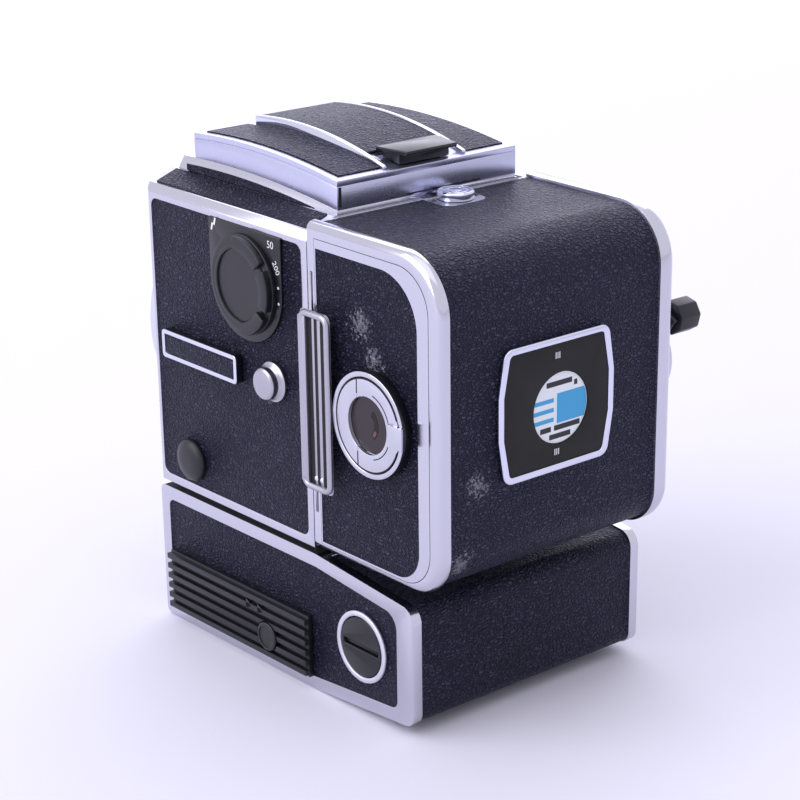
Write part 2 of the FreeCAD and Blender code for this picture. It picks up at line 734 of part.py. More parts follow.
hinge_pins = Piece("hinge_pins")
for pin_y, pin_z in ((mirror_y, mirror_z), (flap_y, upper_flap_z), (flap_y, lower_flap_z)):
    hinge_pins.pad("x", (-chamber_half, chamber_half), circle(pin_y, pin_z, pin_radius))

# Ground glass screen under the hood
focusing_screen = Piece("focusing_screen")
focusing_screen.pad("z", (screen_seat, screen_seat + screen_thickness),
                    rectangle(-screen_half, screen_half, screen_front, screen_half))

# Hood frame: the fixed skirt round the folded shades
lid_top = hood_top + lid_thickness
lid_half = hood_rear - panel_peak_place
lid_radius = (lid_half * lid_half + lid_rise * lid_rise) / (lid_rise * 2)
lid_centre = lid_top + lid_rise - lid_radius
lid_arch = (lid_centre, lid_radius)
across_hood = (-hood_half, hood_half)
hood_frame = Piece("hood_frame")
hood_frame.pad("x", across_hood, rectangle(-hood_front, hood_rear, roof_low, lid_top + lid_rise))
hood_frame.pocket("x", across_hood, circle(panel_peak_place, lid_centre, lid_radius + arch_room),
                  circle(panel_peak_place, lid_centre, lid_radius - lid_thickness))
hood_frame.pocket("x", across_hood, roof_under)
hood_frame.pocket("z", (roof_low, lid_top + lid_rise), well)

# Arched lid with a hollow raised panel over the magnifier
latch_front = hood_rear - latch_length + latch_overhang
panel_end = latch_front - panel_rear_gap
tail = hood_rear - panel_tail_gap
arc_half = tail - panel_peak_place
arc_radius = (arc_half * arc_half + panel_peak * panel_peak) / (panel_peak * 2)
panel_arch = (lid_top + panel_peak - arc_radius, arc_radius)


def arched(name, x_span, y_span, low, arch, shift):
    """A block under a long arch that runs from front to rear, shifted up or down by a skin."""
    centre, radius = arch
    box = block(name + "_block", x_span, y_span, (low, lid_top + panel_peak + overrun * 2))
    barrel = document.addObject("Part::Cylinder", name + "_arch")
    barrel.setExpression("Radius", (radius + as_size(shift)).text)
    barrel.setExpression("Height", (hood_half * 2).text)
    barrel.Placement = FreeCAD.Placement(FreeCAD.Vector(), FreeCAD.Rotation(FreeCAD.Vector(0, 1, 0), 90))
    barrel.setExpression("Placement.Base.x", (-hood_half).text)
    barrel.setExpression("Placement.Base.y", panel_peak_place.text)
    barrel.setExpression("Placement.Base.z", centre.text)
    common = document.addObject("Part::Common", name)
    common.Base = box
    common.Tool = barrel
    return common


def combine(kind, label, first, *others):
    """Join or cut shapes and give the result a label."""
    thing = first
    for number, other in enumerate(others, 1):
        last = number == len(others)
        step = document.addObject(kind, label if last else f"{label}_step_{number}")
        step.Base = thing
        step.Tool = other
        thing = step
    return thing


def block(name, x_span, y_span, z_span):
    box = document.addObject("Part::Box", name)
    for length, axis, span in (("Length", "x", x_span), ("Width", "y", y_span), ("Height", "z", z_span)):
        start, end = as_size(span[0]), as_size(span[1])
        box.setExpression(length, (end - start).text)
        box.setExpression(f"Placement.Base.{axis}", start.text)
    return box


def group(label, *shapes):
    """Separate solids that share one node."""
    thing = document.addObject("Part::Compound", label)
    thing.Links = list(shapes)
    thing.Label = label
    pieces.append(thing)
    return thing


hollow_half = panel_half - panel_wall
bed_front, bed_rear = lid_border - hood_front, hood_rear - lid_border
bed_sides = ((panel_half + rib_width, hood_half - lid_border),
             (lid_border - hood_half, -panel_half - rib_width))
lid_span = (-hood_front, hood_rear)


def lid_skin(name, x_span, y_span, upper, lower):
    """A sheet that follows the arch of the lid, between two heights over its surface."""
    upper_block = arched(name + "_upper", x_span, y_span, roof_low, lid_arch, upper)
    lower_block = arched(name + "_lower", across_hood, lid_span, roof_low - overrun, lid_arch, lower)
    return combine("Part::Cut", name, upper_block, lower_block)


lid_plate = lid_skin("lid_plate", across_hood, lid_span, 0, -lid_thickness)
raised = arched("lid_raised", (-panel_half, panel_half), (panel_front, tail),
                hood_top + lid_bed, panel_arch, 0)
hollow = arched("lid_hollow", (-hollow_half, hollow_half), (panel_front + panel_wall, panel_end - panel_wall),
                hood_top - overrun, panel_arch, -panel_wall - leather)
latch_width = (-latch_half - running_gap, latch_half + running_gap)
latch_pocket = block("latch_pocket", latch_width, (panel_end, hood_rear + overrun),
                     (hood_top, lid_top + panel_peak * 2))
raised_cut = combine("Part::Cut", "lid_raised_cut", raised, latch_pocket)
flat_beds = []
for side in bed_sides:
    flat_beds.append(lid_skin("leather_bed", side, (bed_front, bed_rear), overrun, -lid_bed))
lid_joined = combine("Part::Fuse", "lid_joined", lid_plate, raised_cut)
hood_lid = combine("Part::Cut", "hood_lid", lid_joined, hollow, *flat_beds)
pieces.append(hood_lid)

lid_panels = []
for low_x, high_x in bed_sides:
    lid_panels.append(lid_skin("lid_panel", (low_x + skin_gap, high_x - skin_gap),
                               (bed_front + skin_gap, bed_rear - skin_gap), lid_leather_rise, -lid_bed))
crown_top = arched("crown_top", (-panel_half, panel_half), (panel_front - rib_lead, panel_end), roof_low,
                   panel_arch, leather)
crown_under = arched("crown_under", across_hood, (panel_front, tail), roof_low, panel_arch, 0)
lid_under = arched("lid_under", across_hood, lid_span, roof_low, lid_arch, 0)
crown = combine("Part::Cut", "crown_leather", crown_top, crown_under, lid_under)
lid_leather = group("lid_leather", *lid_panels, crown)

ribs = []
for low_x, high_x in ((panel_half, panel_half + rib_width), (-panel_half - rib_width, -panel_half)):
    rib = arched("rib", (low_x, high_x), (panel_front - rib_lead, tail),
                 roof_low, panel_arch, leather + rib_rise)
    rib_under = arched("rib_under", across_hood, lid_span, roof_low, lid_arch, 0)
    ribs.append(combine("Part::Cut", "rib_strip", rib, rib_under))
lid_ribs = group("lid_ribs", *ribs)

# Latch lever on the rear edge of the lid
lid_latch = Piece("lid_latch")
latch_bottom = lid_top + rest_gap
block_start = latch_front + latch_block_gap
plate_bottom = latch_bottom + latch_lift
latch_end = latch_front + latch_length
lid_latch.pad("z", (latch_bottom, plate_bottom),
              rectangle(latch_taper - latch_half, latch_half - latch_taper, block_start,
                        block_start + latch_block_length))
lid_latch.pocket("x", (-latch_half, latch_half), circle(panel_peak_place, lid_centre, lid_radius + rest_gap))
lid_latch.pad("z", (plate_bottom, plate_bottom + latch_plate), [
    (-latch_half, latch_front), (latch_half, latch_front), (latch_half - latch_taper, latch_end),
    (latch_taper - latch_half, latch_end)])

# Folding shades: the sides hinge along Y, the rear one along X above them
shade_z = hood_top - shade_axis_drop
shade_x = hood_inner - shade_axis_inset
rear_shade_y = inner_rear - shade_axis_inset
rear_shade_z = shade_z + rear_shade_lift


def side_shade(label, sign):
    piece = Piece(label)
    start, end = inner_front + shade_front_gap, inner_rear - shade_rear_gap
    outline = [(shade_x * sign, start), (shade_x * sign, end),
               ((shade_x - shade_reach) * sign, end - shade_reach - corner_gap),
               ((shade_x - shade_reach) * sign, start + shade_reach)]
    piece.pad("z", (shade_z - shade_thickness / 2, shade_z + shade_thickness / 2), outline)
    piece.pad("y", (inner_front + skin_gap, inner_rear - skin_gap),
              circle(shade_x * sign, shade_z, pin_radius))


side_shade("left_shade", 1)
side_shade("right_shade", -1)
rear_shade = Piece("rear_shade")
rear_shade_half = shade_x - pin_radius - shade_rear_gap
rear_shade.pad("z", (rear_shade_z - shade_thickness / 2, rear_shade_z + shade_thickness / 2),
               rectangle(-rear_shade_half, rear_shade_half, rear_shade_y - rear_shade_reach, rear_shade_y))
rear_shade.pad("x", (skin_gap - hood_inner, hood_inner - skin_gap),
               circle(rear_shade_y, rear_shade_z, pin_radius))

# Magnifier folded into the hollow of the lid
magnifier_z = lid_top - magnifier_axis_drop
lens_low = hood_top - magnifier_drop
magnifier_arm = Piece("magnifier_arm")
magnifier_rim = magnifier_radius + magnifier_rim_width
magnifier_centre = panel_end - panel_wall - magnifier_rear_gap - magnifier_rim
magnifier_y = magnifier_centre - magnifier_arm_length
plate_span = (lens_low, lens_low + magnifier_plate)
magnifier_arm.pad("z", plate_span, circle(0, magnifier_centre, magnifier_rim))
magnifier_arm.pad("z", plate_span,
                  rectangle(-magnifier_arm_half, magnifier_arm_half, magnifier_y, magnifier_centre))
magnifier_arm.pad("x", (skin_gap - hollow_half, hollow_half - skin_gap),
                  circle(magnifier_y, magnifier_z, pin_radius + skin_gap))
magnifier_arm.pad("x", (-magnifier_arm_half, magnifier_arm_half),
                  circle(magnifier_y, magnifier_z, pin_radius + barrel_wall + skin_gap))
magnifier_arm.pocket("z", (lens_low - overrun, lens_low + magnifier_plate * 2),
                     circle(0, magnifier_centre, magnifier_radius))
magnifier_lens = Piece("magnifier_lens")
magnifier_lens.pad("z", (lens_low, lens_low + magnifier_thickness),
                   circle(0, magnifier_centre, magnifier_radius))

# Fittings on the sides of the body
strap_lugs = Piece("strap_lugs")
for sign in (1, -1):
    flange = [leather_face * sign, (leather_face + lug_flange_thickness) * sign]
    head = [flange[1], (leather_face + lug_flange_thickness + lug_head_length) * sign]
    if sign < 0:
        flange.reverse()
        head.reverse()
    strap_lugs.pad("x", flange, circle(lug_place, fitting_height, lug_flange_radius))
    strap_lugs.pad("x", head, circle(lug_place, fitting_height, lug_head_radius))

accessory_rail = Piece("accessory_rail")
rail_low_y, rail_high_y = rail_place - rail_length / 2, rail_place + rail_length / 2
rail_low_z, rail_high_z = fitting_height - rail_width / 2, fitting_height + rail_width / 2
accessory_rail.pad("x", (leather_face, leather_face + rail_height),
                   rectangle(rail_low_y, rail_high_y, rail_low_z, rail_high_z, rail_round))
accessory_rail.pocket("x", (leather_face + rail_height - rail_sink, leather_face + rail_height),
                      rectangle(rail_low_y + rail_border, rail_high_y - rail_border, rail_low_z + rail_border,
                                rail_high_z - rail_border))

# Film speed dial
dial_base = leather_face
dial_plate = Piece("dial_plate")
plate_round = dial_plate_half - skin_gap * 2
plate_left, plate_right = dial_place - dial_plate_half, dial_place + dial_plate_half
plate_foot = dial_height - dial_plate_half
dial_plate.pad("x", (dial_base, dial_base + dial_plate_thickness),
               [(plate_left, plate_foot, plate_round), (plate_right, plate_foot, plate_round),
                (plate_right, panel_high), (plate_left, panel_high)],
               circle(dial_place, dial_height, dial_shaft + shaft_gap))
dial_knob = Piece("dial_knob")
dial_low = dial_plate_thickness + running_gap
dial_knob.pad("x", (dial_low, dial_low + dial_thickness), circle(0, 0, dial_radius))
dial_knob.pad("x", (-dial_shaft_length, dial_low), circle(0, 0, dial_shaft))
notch = dial_knob.pocket("x", (dial_low + dial_flange, dial_low + dial_thickness),
                         rectangle(dial_radius - dial_notch, dial_radius + overrun, -dial_notch_half,
                                   dial_notch_half))
dial_knob.repeat(notch, "X", dial_notch_count)
dial_knob.pocket("x", (dial_low + dial_thickness - dial_recess_depth, dial_low + dial_thickness),
                 circle(0, 0, dial_recess_radius))
dial_knob.place(dial_base, dial_place, dial_height)

# Round plug over the contact socket
contact_plug = Piece("contact_plug")
plug_start = leather_face + skin_gap
contact_plug.pad("x", (plug_start, leather_face + plug_thickness),
                 circle(plug_place, plug_height, plug_radius))
contact_plug.pad("x", (half - recess - plug_stem_length, plug_start),
                 circle(plug_place, plug_height, plug_stem))
contact_plug.fillet(soft_round, lambda e: near(e.CenterOfMass.x, leather_face + plug_thickness))

# Base: one casting whose tail slopes down under the magazine
base_rear = seam + base_tail
cap_place = base_rear - cap_rear_gap
base_profile = [
    (front, 0, edge_round), (seam - overrun, 0), (base_rear, base_tail_rise, base_round_low),
    (base_rear, base_height - base_tail_drop, base_round_high), (seam, base_height),
    (front, base_height, edge_round),
]
inside_front = front + base_wall
inside_rear = base_rear - base_wall
base_cavity = [
    (inside_front, base_wall), (seam - overrun, base_wall), (inside_rear, base_tail_rise + base_slack),
    (inside_rear, base_height - base_tail_drop - base_slack), (seam, base_height - base_wall),
    (inside_front, base_height - base_wall),
]
base_side_panel = [
    (front + base_border, base_border, frame_line), (seam - overrun, base_border),
    (base_rear - base_panel_rear, base_tail_rise + base_panel_lift, frame_line),
    (base_rear - base_panel_rear, base_height - base_panel_drop, base_panel_round),
    (seam, base_height - base_border), (front + base_border, base_height - base_border, frame_line),
]
cavity_half = half - base_wall
cell_row = cell_diameter * cell_count
door_length = cell_row + door_margin
door_start = front + door_front
bay_start = door_start + (door_length - cell_row) / 2
bay_low = base_wall + socket_boss + rest_gap * 3
bay_high = bay_low + cell_diameter + skin_gap * 2
bay = rectangle(bay_start - skin_gap, bay_start + cell_row + skin_gap, bay_low, bay_high)
coin_hole = circle(cap_place, cap_height, cap_radius + running_gap)
release_hole = circle(release_place, release_height, release_radius + running_gap)
base_shell = Piece("base_shell")
base_shell.pad("x", (-half, half), base_profile)
base_shell.pocket("x", (-cavity_half, cavity_half), base_cavity)
base_shell.pocket("x", (half - recess, half), base_side_panel)
base_shell.pocket("x", (-half, recess - half), base_side_panel)
base_shell.pocket("x", (cavity_half, half), bay)
base_shell.pocket("x", (cavity_half, half), coin_hole)
base_shell.pocket("y", (front, inside_front), release_hole)
end_half = half - base_border
wrap_half = half - base_rim
end_low, end_high = base_border + overrun, base_height - base_border


def tail_wrap(outer, inner):
    """Outline of a skin round the tail, between two depths below the casting's surface."""
    start_low, start_high = seam - overrun, seam + foot_inset
    drop = base_tail_drop * foot_inset / base_tail
    outline = []
    for depth, order in ((outer, 1), (inner, -1)):
        rear, low, high = base_rear - depth, base_tail_rise + depth, base_height - base_tail_drop - depth
        ring = [(start_low, depth), (rear, low, base_round_low - depth),
                (rear, high, base_round_high - depth), (start_high, base_height - drop - depth)]
        outline += ring[::order]
    return outline


base_shell.pocket("y", (front, front + recess), rectangle(-end_half, end_half, end_low, end_high, frame_line))
base_shell.pocket("x", (-wrap_half, wrap_half), tail_wrap(-running_gap, recess))
tripod_outline = rectangle(-tripod_plate_half, tripod_plate_half, -tripod_plate_half, tripod_plate_rear)
base_shell.pocket("z", (0, base_wall), tripod_outline)

base_side_leathers = Piece("base_side_leathers")
base_side_leathers.pad("x", (half - recess, leather_face), base_side_panel, bay, coin_hole)
base_side_leathers.pad("x", (-leather_face, recess - half), base_side_panel)
base_end_leathers = Piece("base_end_leathers")
base_end_leathers.pad("y", (front + recess - leather, front + recess),
                      rectangle(-end_half, end_half, end_low, end_high, frame_line), release_hole)
base_end_leathers.pad("x", (-wrap_half, wrap_half), tail_wrap(recess - leather, recess))

# Ribbed battery door that slides forward over the frame, with its lock button
door_base = half + rest_gap
battery_door = Piece("battery_door")
door_high = door_low + door_height
door_end = door_start + door_length
rib_base = door_base + door_thickness
rib_top = rib_base + door_rib
battery_door.pad("x", (door_base, rib_base), rectangle(door_start, door_end, door_low, door_high))
rib_pitch = door_height / door_rib_count
for number in range(door_rib_count):
    rib_low = door_low + rib_pitch * number + door_lip
    battery_door.pad("x", (rib_base, rib_top),
                     rectangle(door_start, door_end, rib_low, rib_low + rib_pitch - door_lip * 2))
button_floor = door_base + door_floor
battery_door.pocket("x", (button_floor, rib_top),
                    circle(door_button_place, door_button_height, door_button_radius + running_gap))
door_lock_button = Piece("door_lock_button")
door_lock_button.pad("x", (button_floor + door_button_travel + skin_gap, rib_top + door_button_rise),
                     circle(door_button_place, door_button_height, door_button_radius))

battery_cells = Piece("battery_cells")
cell_start = cavity_half - cell_length
for number in range(cell_count):
    cell_y = bay_start + cell_diameter * (number + 0.5)
    cell_z = bay_low + cell_diameter / 2 + skin_gap
    cell_top = cavity_half - cell_nipple
    battery_cells.pad("x", (cell_start, cell_top), circle(cell_y, cell_z, (cell_diameter - shaft_gap) / 2))
    battery_cells.pad("x", (cell_top, cavity_half), circle(cell_y, cell_z, cell_nipple_radius))

# Coin cap and its bezel
coin_cap_ring = Piece("coin_cap_ring")
coin_cap_ring.pad("x", (leather_face, leather_face + cap_ring_rise),
                  circle(cap_place, cap_height, cap_ring_radius), coin_hole)
coin_cap = Piece("coin_cap")
cap_face = cap_ring_rise - skin_gap
coin_cap.pad("x", (-base_wall, cap_face), circle(0, 0, cap_radius))
coin_cap.pocket("x", (cap_face - cap_slot_depth, cap_face),
                rectangle(cap_slot_end - cap_radius, cap_radius - cap_slot_end, -cap_slot_width / 2,
                          cap_slot_width / 2))
coin_cap.place(leather_face, cap_place, cap_height)

# Motor with its pinion, and the gear that winds the shutter
motor_y = cap_place
floor_slope = (base_tail_rise + base_slack - base_wall) / (inside_rear - seam + overrun)
motor_floor = base_wall + floor_slope * (motor_y + motor_foot - seam + overrun) + skin_gap
motor_z = motor_floor + motor_radius
drive_motor = Piece("drive_motor")
drive_motor.pad("x", (motor_start, motor_start + motor_length), circle(motor_y, motor_z, motor_radius))
drive_motor.pad("x", (motor_start + motor_foot_inset, motor_start + motor_length - motor_foot_inset),
                rectangle(motor_y - motor_foot, motor_y + motor_foot, motor_floor, motor_z))
gear_low = gear_wall_gap - cavity_half
pinion_pitch = gear_module * pinion_teeth / 2
gear_pitch = gear_module * gear_teeth / 2


def toothed(label, teeth, pitch, shaft_span, shaft_radius):
    """A spur gear about its own X axis, with straight-sided teeth that leave backlash."""
    piece = Piece(label)
    root = pitch - gear_module * tooth_depth
    tip = pitch + gear_module * tooth_height
    foot_half, tip_half = gear_module * tooth_foot, gear_module * tooth_tip
    piece.pad("x", (0, gear_face), circle(0, 0, root + root_margin))
    tooth = piece.pad("x", (0, gear_face), [
        (root - tooth_sink, foot_half * -1), (tip, tip_half * -1),
        (tip, tip_half), (root - tooth_sink, foot_half)])
    piece.repeat(tooth, "X", teeth)
    piece.pad("x", shaft_span, circle(0, 0, shaft_radius))
    return piece


turn = math.radians(gear_turn)
distance = pinion_pitch + gear_pitch
gear_y = motor_y - distance * math.cos(turn)
gear_z = motor_z + distance * math.sin(turn)
motor_pinion = toothed("motor_pinion", pinion_teeth, pinion_pitch,
                       (gear_face, motor_start - gear_low - skin_gap), motor_shaft)
motor_pinion.place(gear_low, motor_y, motor_z, FreeCAD.Vector(1, 0, 0), 180 - gear_turn + 180 / pinion_teeth)
drive_gear = toothed("drive_gear", gear_teeth, gear_pitch, (-gear_stub, gear_face + gear_spindle), gear_shaft)
drive_gear.place(gear_low, gear_y, gear_z, FreeCAD.Vector(1, 0, 0), -gear_turn)

# Circuit board hung under the roof of the base
circuit_board = Piece("circuit_board")
board_roof = base_height - base_wall
board_top = board_roof - board_post
board_low = board_top - board_thickness
circuit_board.pad("z", (board_low, board_top), rectangle(board_left, board_right, -board_half, board_half))
for post_x in (board_left + board_inset, board_right - board_inset):
    for post_y in (board_inset - board_half, board_half - board_inset):
        circuit_board.pad("z", (board_top, board_roof), circle(post_x, post_y, board_post_radius))
circuit_board.pad("z", (board_low - chip_height, board_low),
                  rectangle(chip_left, chip_left + chip_size, -chip_size / 2, chip_size / 2))

# Mode selector on the right side and release button at the front
mode_selector = Piece("mode_selector")
mode_selector.pad("x", (-selector_thickness, -rest_gap), circle(0, 0, selector_radius))
mode_selector.pad("x", (-selector_thickness - selector_bar, -selector_thickness),
                  rectangle(overrun - selector_radius, selector_radius - overrun, -selector_bar, selector_bar,
                            soft_round))
mode_selector.place(-half, selector_place, selector_height)
release_button = Piece("release_button")
release_button.pad("y", (front - release_rise, front + release_stem),
                   circle(release_place, release_height, release_radius))

# Steel tripod plate with both socket sizes
tripod_plate = Piece("tripod_plate")
tripod_plate.pad("z", (0, base_wall), tripod_outline)
tripod_plate.pad("z", (base_wall, base_wall + socket_boss),
                 rectangle(-tripod_large - socket_wall, tripod_large + socket_wall,
                           -tripod_small - socket_wall, tripod_large_place + tripod_large + socket_wall))
# the sockets are blind, so a long tripod screw stops short of the cells
for socket_place, socket_radius in ((0, tripod_small), (tripod_large_place, tripod_large)):
    tripod_plate.pocket("z", (0, socket_depth), circle(0, socket_place, socket_radius))

# Magazine shell between two chromed side frames
magazine_front = seam + seam_gap
button_place_y = magazine_front + button_inset
magazine_rear = magazine_front + magazine_depth
magazine_low = floor
magazine_high = floor + magazine_height
core_half = half - frame_width
left_core = half - left_frame_width


def magazine_outline(inset, front_inset=0):
    """The rounded side shape of the magazine, drawn in by an even margin."""
    start, end = magazine_front + front_inset, magazine_rear - inset
    low, high = magazine_low + inset, magazine_high - inset
    return [(start, low), (end, low, magazine_round_bottom - inset), (end, high, magazine_round_top - inset),
            (start, high)]


skin_inset = frame_proud
shell_inset = frame_proud + leather
chamber_inset = shell_inset + magazine_wall
chamber_start = magazine_front + front_plate
slide_y = magazine_front + slide_inset
slot_half = slide_thickness / 2 + rest_gap
slot_low, slot_high = lens_height - slide_half - running_gap, lens_height + slide_half + running_gap
slot = rectangle(slide_y - slot_half, slide_y + slot_half, slot_low, slot_high)
magazine_shell = Piece("magazine_shell")
across_shell = (-core_half, left_core)
magazine_shell.pad("x", across_shell, magazine_outline(shell_inset))
lip_end = magazine_front + magazine_wall
magazine_shell.pad("x", across_shell,
                   rectangle(magazine_front, lip_end, magazine_low + skin_inset, magazine_high - skin_inset))
magazine_shell.pocket("x", (magazine_wall - core_half, left_core),
                      magazine_outline(chamber_inset, front_plate))
magazine_shell.pocket("y", (magazine_front, chamber_start),
                      rectangle(-gate_half, gate_half, lens_height - gate_half, lens_height + gate_half))
magazine_shell.pocket("x", (-slide_tip - running_gap, left_core), slot)
stem_room = button_stem + running_gap
stem_slot = rectangle(button_place_x - button_travel - stem_room, button_place_x + stem_room,
                      button_place_y - stem_room, button_place_y + stem_room)
magazine_shell.pocket("z", (magazine_high - chamber_inset - running_gap, magazine_high), stem_slot)

magazine_wrap_leather = Piece("magazine_wrap_leather")
magazine_wrap_leather.pad("x", across_shell, magazine_outline(skin_inset, magazine_wall))
magazine_wrap_leather.pocket("x", across_shell, magazine_outline(shell_inset, magazine_wall - overrun))
magazine_wrap_leather.pocket("z", (magazine_high - chamber_inset, magazine_high), stem_slot)


def side_outline(front_inset, low_inset, rear_inset, high_inset, low_round, high_round):
    """An outline on the side of the magazine, each edge drawn in by its own amount."""
    start, end = magazine_front + front_inset, magazine_rear - rear_inset
    low, high = magazine_low + low_inset, magazine_high - high_inset
    return [(start, low), (end, low, low_round), (end, high, high_round), (start, high)]


plate_low_round = magazine_round_bottom - plate_bottom_inset
plate_high_round = magazine_round_top - plate_top_inset
plate_outline = side_outline(plate_front_inset, plate_bottom_inset, plate_rear_inset, plate_top_inset,
                             plate_low_round, plate_high_round)
plate_inner = side_outline(plate_front_inset + rest_gap, plate_bottom_inset + rest_gap,
                           plate_rear_inset + rest_gap, plate_top_inset + rest_gap, plate_low_round,
                           plate_high_round)
panel_rear_inset = plate_rear_inset + panel_rear_margin
panel_top_inset = plate_top_inset + panel_top_margin


def rim_edges(face_x):
    """Test for the outer edges of a side frame, apart from its front edge."""
    def chosen(edge):
        centre = edge.CenterOfMass
        outer = (near(centre.z, magazine_high, rim_search.value)
                 or near(centre.z, magazine_low, rim_search.value)
                 or near(centre.y, magazine_rear, rim_search.value))
        return near(centre.x, face_x) and outer and centre.y > magazine_front.value + edge_round.value
    return chosen


left_frame = Piece("magazine_left_frame")
left_span = (left_core, half)
left_frame.pad("x", left_span, magazine_outline(0))
left_frame.fillet(left_frame_round, rim_edges(half))
left_frame.pocket("x", left_span, plate_outline)
left_frame.pocket("x", left_span, slot)
right_frame = Piece("magazine_right_frame")
right_frame.pad("x", (-half, -core_half), magazine_outline(0))
right_frame.fillet(frame_round, rim_edges(-half))
right_panel = side_outline(plate_front_inset, frame_round, panel_rear_inset, panel_top_inset, panel_low_round,
                           panel_high_round)
right_frame.pocket("x", (-half, recess - leather - half), right_panel)
right_frame.pocket("x", (-half, -core_half), circle(crank_place, crank_height, crank_shaft + shaft_gap))

# Film insert: side plate, frame and two spools draw out to the left together
insert_side_plate = Piece("insert_side_plate")
insert_side_plate.pad("x", left_span, plate_inner)
insert_panel = side_outline(plate_front_inset + panel_front_margin, plate_bottom_inset + panel_bottom_margin,
                            panel_rear_inset, panel_top_inset, panel_low_round, panel_high_round)
insert_side_plate.pocket("x", (half - recess, half), insert_panel)
insert_leather = Piece("insert_leather")
insert_leather.pad("x", (half - recess, leather_face), insert_panel)

frame_end = spool_half + rest_gap
insert_frame = Piece("insert_frame")
frame_front = chamber_start + running_gap
flange_room = spool_flange + running_gap * 2
plate_low, plate_high = feed_height - flange_room, take_up_height + flange_room
plate_back = spool_place + flange_room
insert_frame.pad("x", (-frame_end - frame_plate, frame_end + frame_plate),
                 rectangle(frame_front, frame_front + frame_plate, plate_low, plate_high))
for start in (-frame_end - frame_plate, frame_end):
    insert_frame.pad("x", (start, start + frame_plate),
                     rectangle(frame_front, plate_back, plate_low, plate_high, frame_plate_round))
insert_frame.pad("x", (frame_end + frame_plate, left_core),
                 rectangle(key_place - lock_box_half, key_place + lock_box_half, key_height - lock_box_half,
                           key_height + lock_box_half))


def spool(label, height):
    piece = Piece(label)
    piece.pad("x", (-spool_half, spool_half), circle(spool_place, height, spool_core))
    for start in (-spool_half, spool_half - spool_flange_thickness):
        piece.pad("x", (start, start + spool_flange_thickness), circle(spool_place, height, spool_flange))


spool("feed_spool", feed_height)
spool("take_up_spool", take_up_height)

# Round lock of the insert: ring, turning key and the half ring that folds out of it
key_inner = key_ring_radius - key_ring_wall
key_radius = key_inner - running_gap
key_floor = leather_face + running_gap
key_middle = key_floor + key_base
key_face = leather_face + key_ring_rise
key_disc = circle(key_place, key_height, key_radius)
key_window = circle(key_place, key_height, key_window_radius)
lock_ring = Piece("insert_lock_ring")
lock_ring.pad("x", (leather_face, key_face), circle(key_place, key_height, key_ring_radius),
              circle(key_place, key_height, key_inner))
insert_key = Piece("insert_key")
insert_key.pad("x", (key_floor, key_middle), key_disc)
insert_key.pad("x", (key_middle, key_face), key_disc, key_window)
key_below, key_above = key_height - key_ring_radius, key_height + key_ring_radius
insert_key.pocket("x", (key_middle, key_face + overrun),
                  rectangle(key_place - key_split, key_place + key_ring_radius, key_below, key_above))
key_handle = Piece("key_handle")
handle_base = key_middle + rest_gap
tab_start = key_place + key_window_radius + key_tab_inset
tab_top = key_face + key_tab_rise
key_handle.pad("x", (handle_base, key_face), key_disc, key_window)
key_handle.pad("x", (handle_base, tab_top),
               rectangle(tab_start, key_place + key_radius - running_gap, key_height - key_tab_half,
                         key_height + key_tab_half))
key_handle.pad("x", (key_face + rest_gap, tab_top),
               rectangle(tab_start, key_place + key_ring_radius + running_gap, key_height - key_tab_half,
                         key_height + key_tab_half))
key_handle.pocket("x", (key_middle, tab_top + overrun),
                  rectangle(key_place - key_ring_radius, key_place - key_split + rest_gap,
                            key_below, key_above))

# Dark slide with its wire pull
dark_slide = Piece("dark_slide")
pull_low = half + handle_stand
pull_high = pull_low + handle_wire
pull_front = slide_y - handle_lead
pull_rear = pull_front + handle_width
blade_low, blade_high = slide_y - slide_thickness / 2, slide_y + slide_thickness / 2
dark_slide.pad("x", (-slide_tip, pull_low),
               rectangle(blade_low, blade_high, lens_height - slide_half, lens_height + slide_half))
neck = (half + running_gap, pull_low + overrun)
for low, high in ((handle_high - handle_lap, slot_high), (slot_low, handle_low + handle_lap)):
    dark_slide.pocket("x", neck, rectangle(slide_y - slide_inset, slide_y + slide_inset, low, high))
dark_slide.pad("x", (pull_low, pull_high),
               rectangle(pull_front, pull_rear, handle_low, handle_high, handle_round),
               rectangle(pull_front + handle_wire, pull_rear - handle_wire, handle_low + handle_wire,
                         handle_high - handle_wire))
dark_slide.pad("x", (pull_low - slide_thickness, pull_high),
               rectangle(pull_front + slide_thickness, slide_y + slide_inset, handle_low + handle_lap,
                         handle_high - handle_lap))

# Memo holder on the rear of the magazine
memo_base = magazine_rear - skin_inset


def memo_outline(inset):
    """A frame whose sides swell a little towards their middles."""
    low_z, high_z = memo_low + inset, memo_high - inset
    middle = (memo_low + memo_high) / 2
    narrow, wide = memo_half - inset, memo_half + memo_bulge - inset
    belly_low, belly_high = middle - memo_belly, middle + memo_belly
    corner = memo_corner - inset
    left, right = memo_place + narrow, memo_place - narrow
    left_belly, right_belly = memo_place + wide, memo_place - wide
    return [(right, low_z, corner), (left, low_z, corner), (left_belly, belly_low), (left_belly, belly_high),
            (left, high_z, corner), (right, high_z, corner),
            (right_belly, belly_high), (right_belly, belly_low)]


memo_frame = Piece("memo_frame")
memo_frame.pad("y", (memo_base, memo_base + memo_thickness), memo_outline(0), memo_outline(memo_border))
memo_plate = Piece("memo_plate")
memo_plate.pad("y", (memo_base, memo_base + memo_thickness - memo_sink),
               memo_outline(memo_border + shaft_gap))
memo_plate.pocket("y", (memo_base + memo_floor, memo_base + memo_thickness),
                  circle(memo_window_place, memo_window_height, memo_window))

# Sliding button that frees the magazine
release_top = magazine_high - skin_inset
magazine_release_button = Piece("magazine_release_button")
button_low = release_top + running_gap
magazine_release_button.pad("z", (button_low, button_low + button_thickness),
                            circle(button_place_x, button_place_y, button_radius))
magazine_release_button.pad("z", (release_top - leather - magazine_wall, button_low),
                            circle(button_place_x, button_place_y, button_stem))

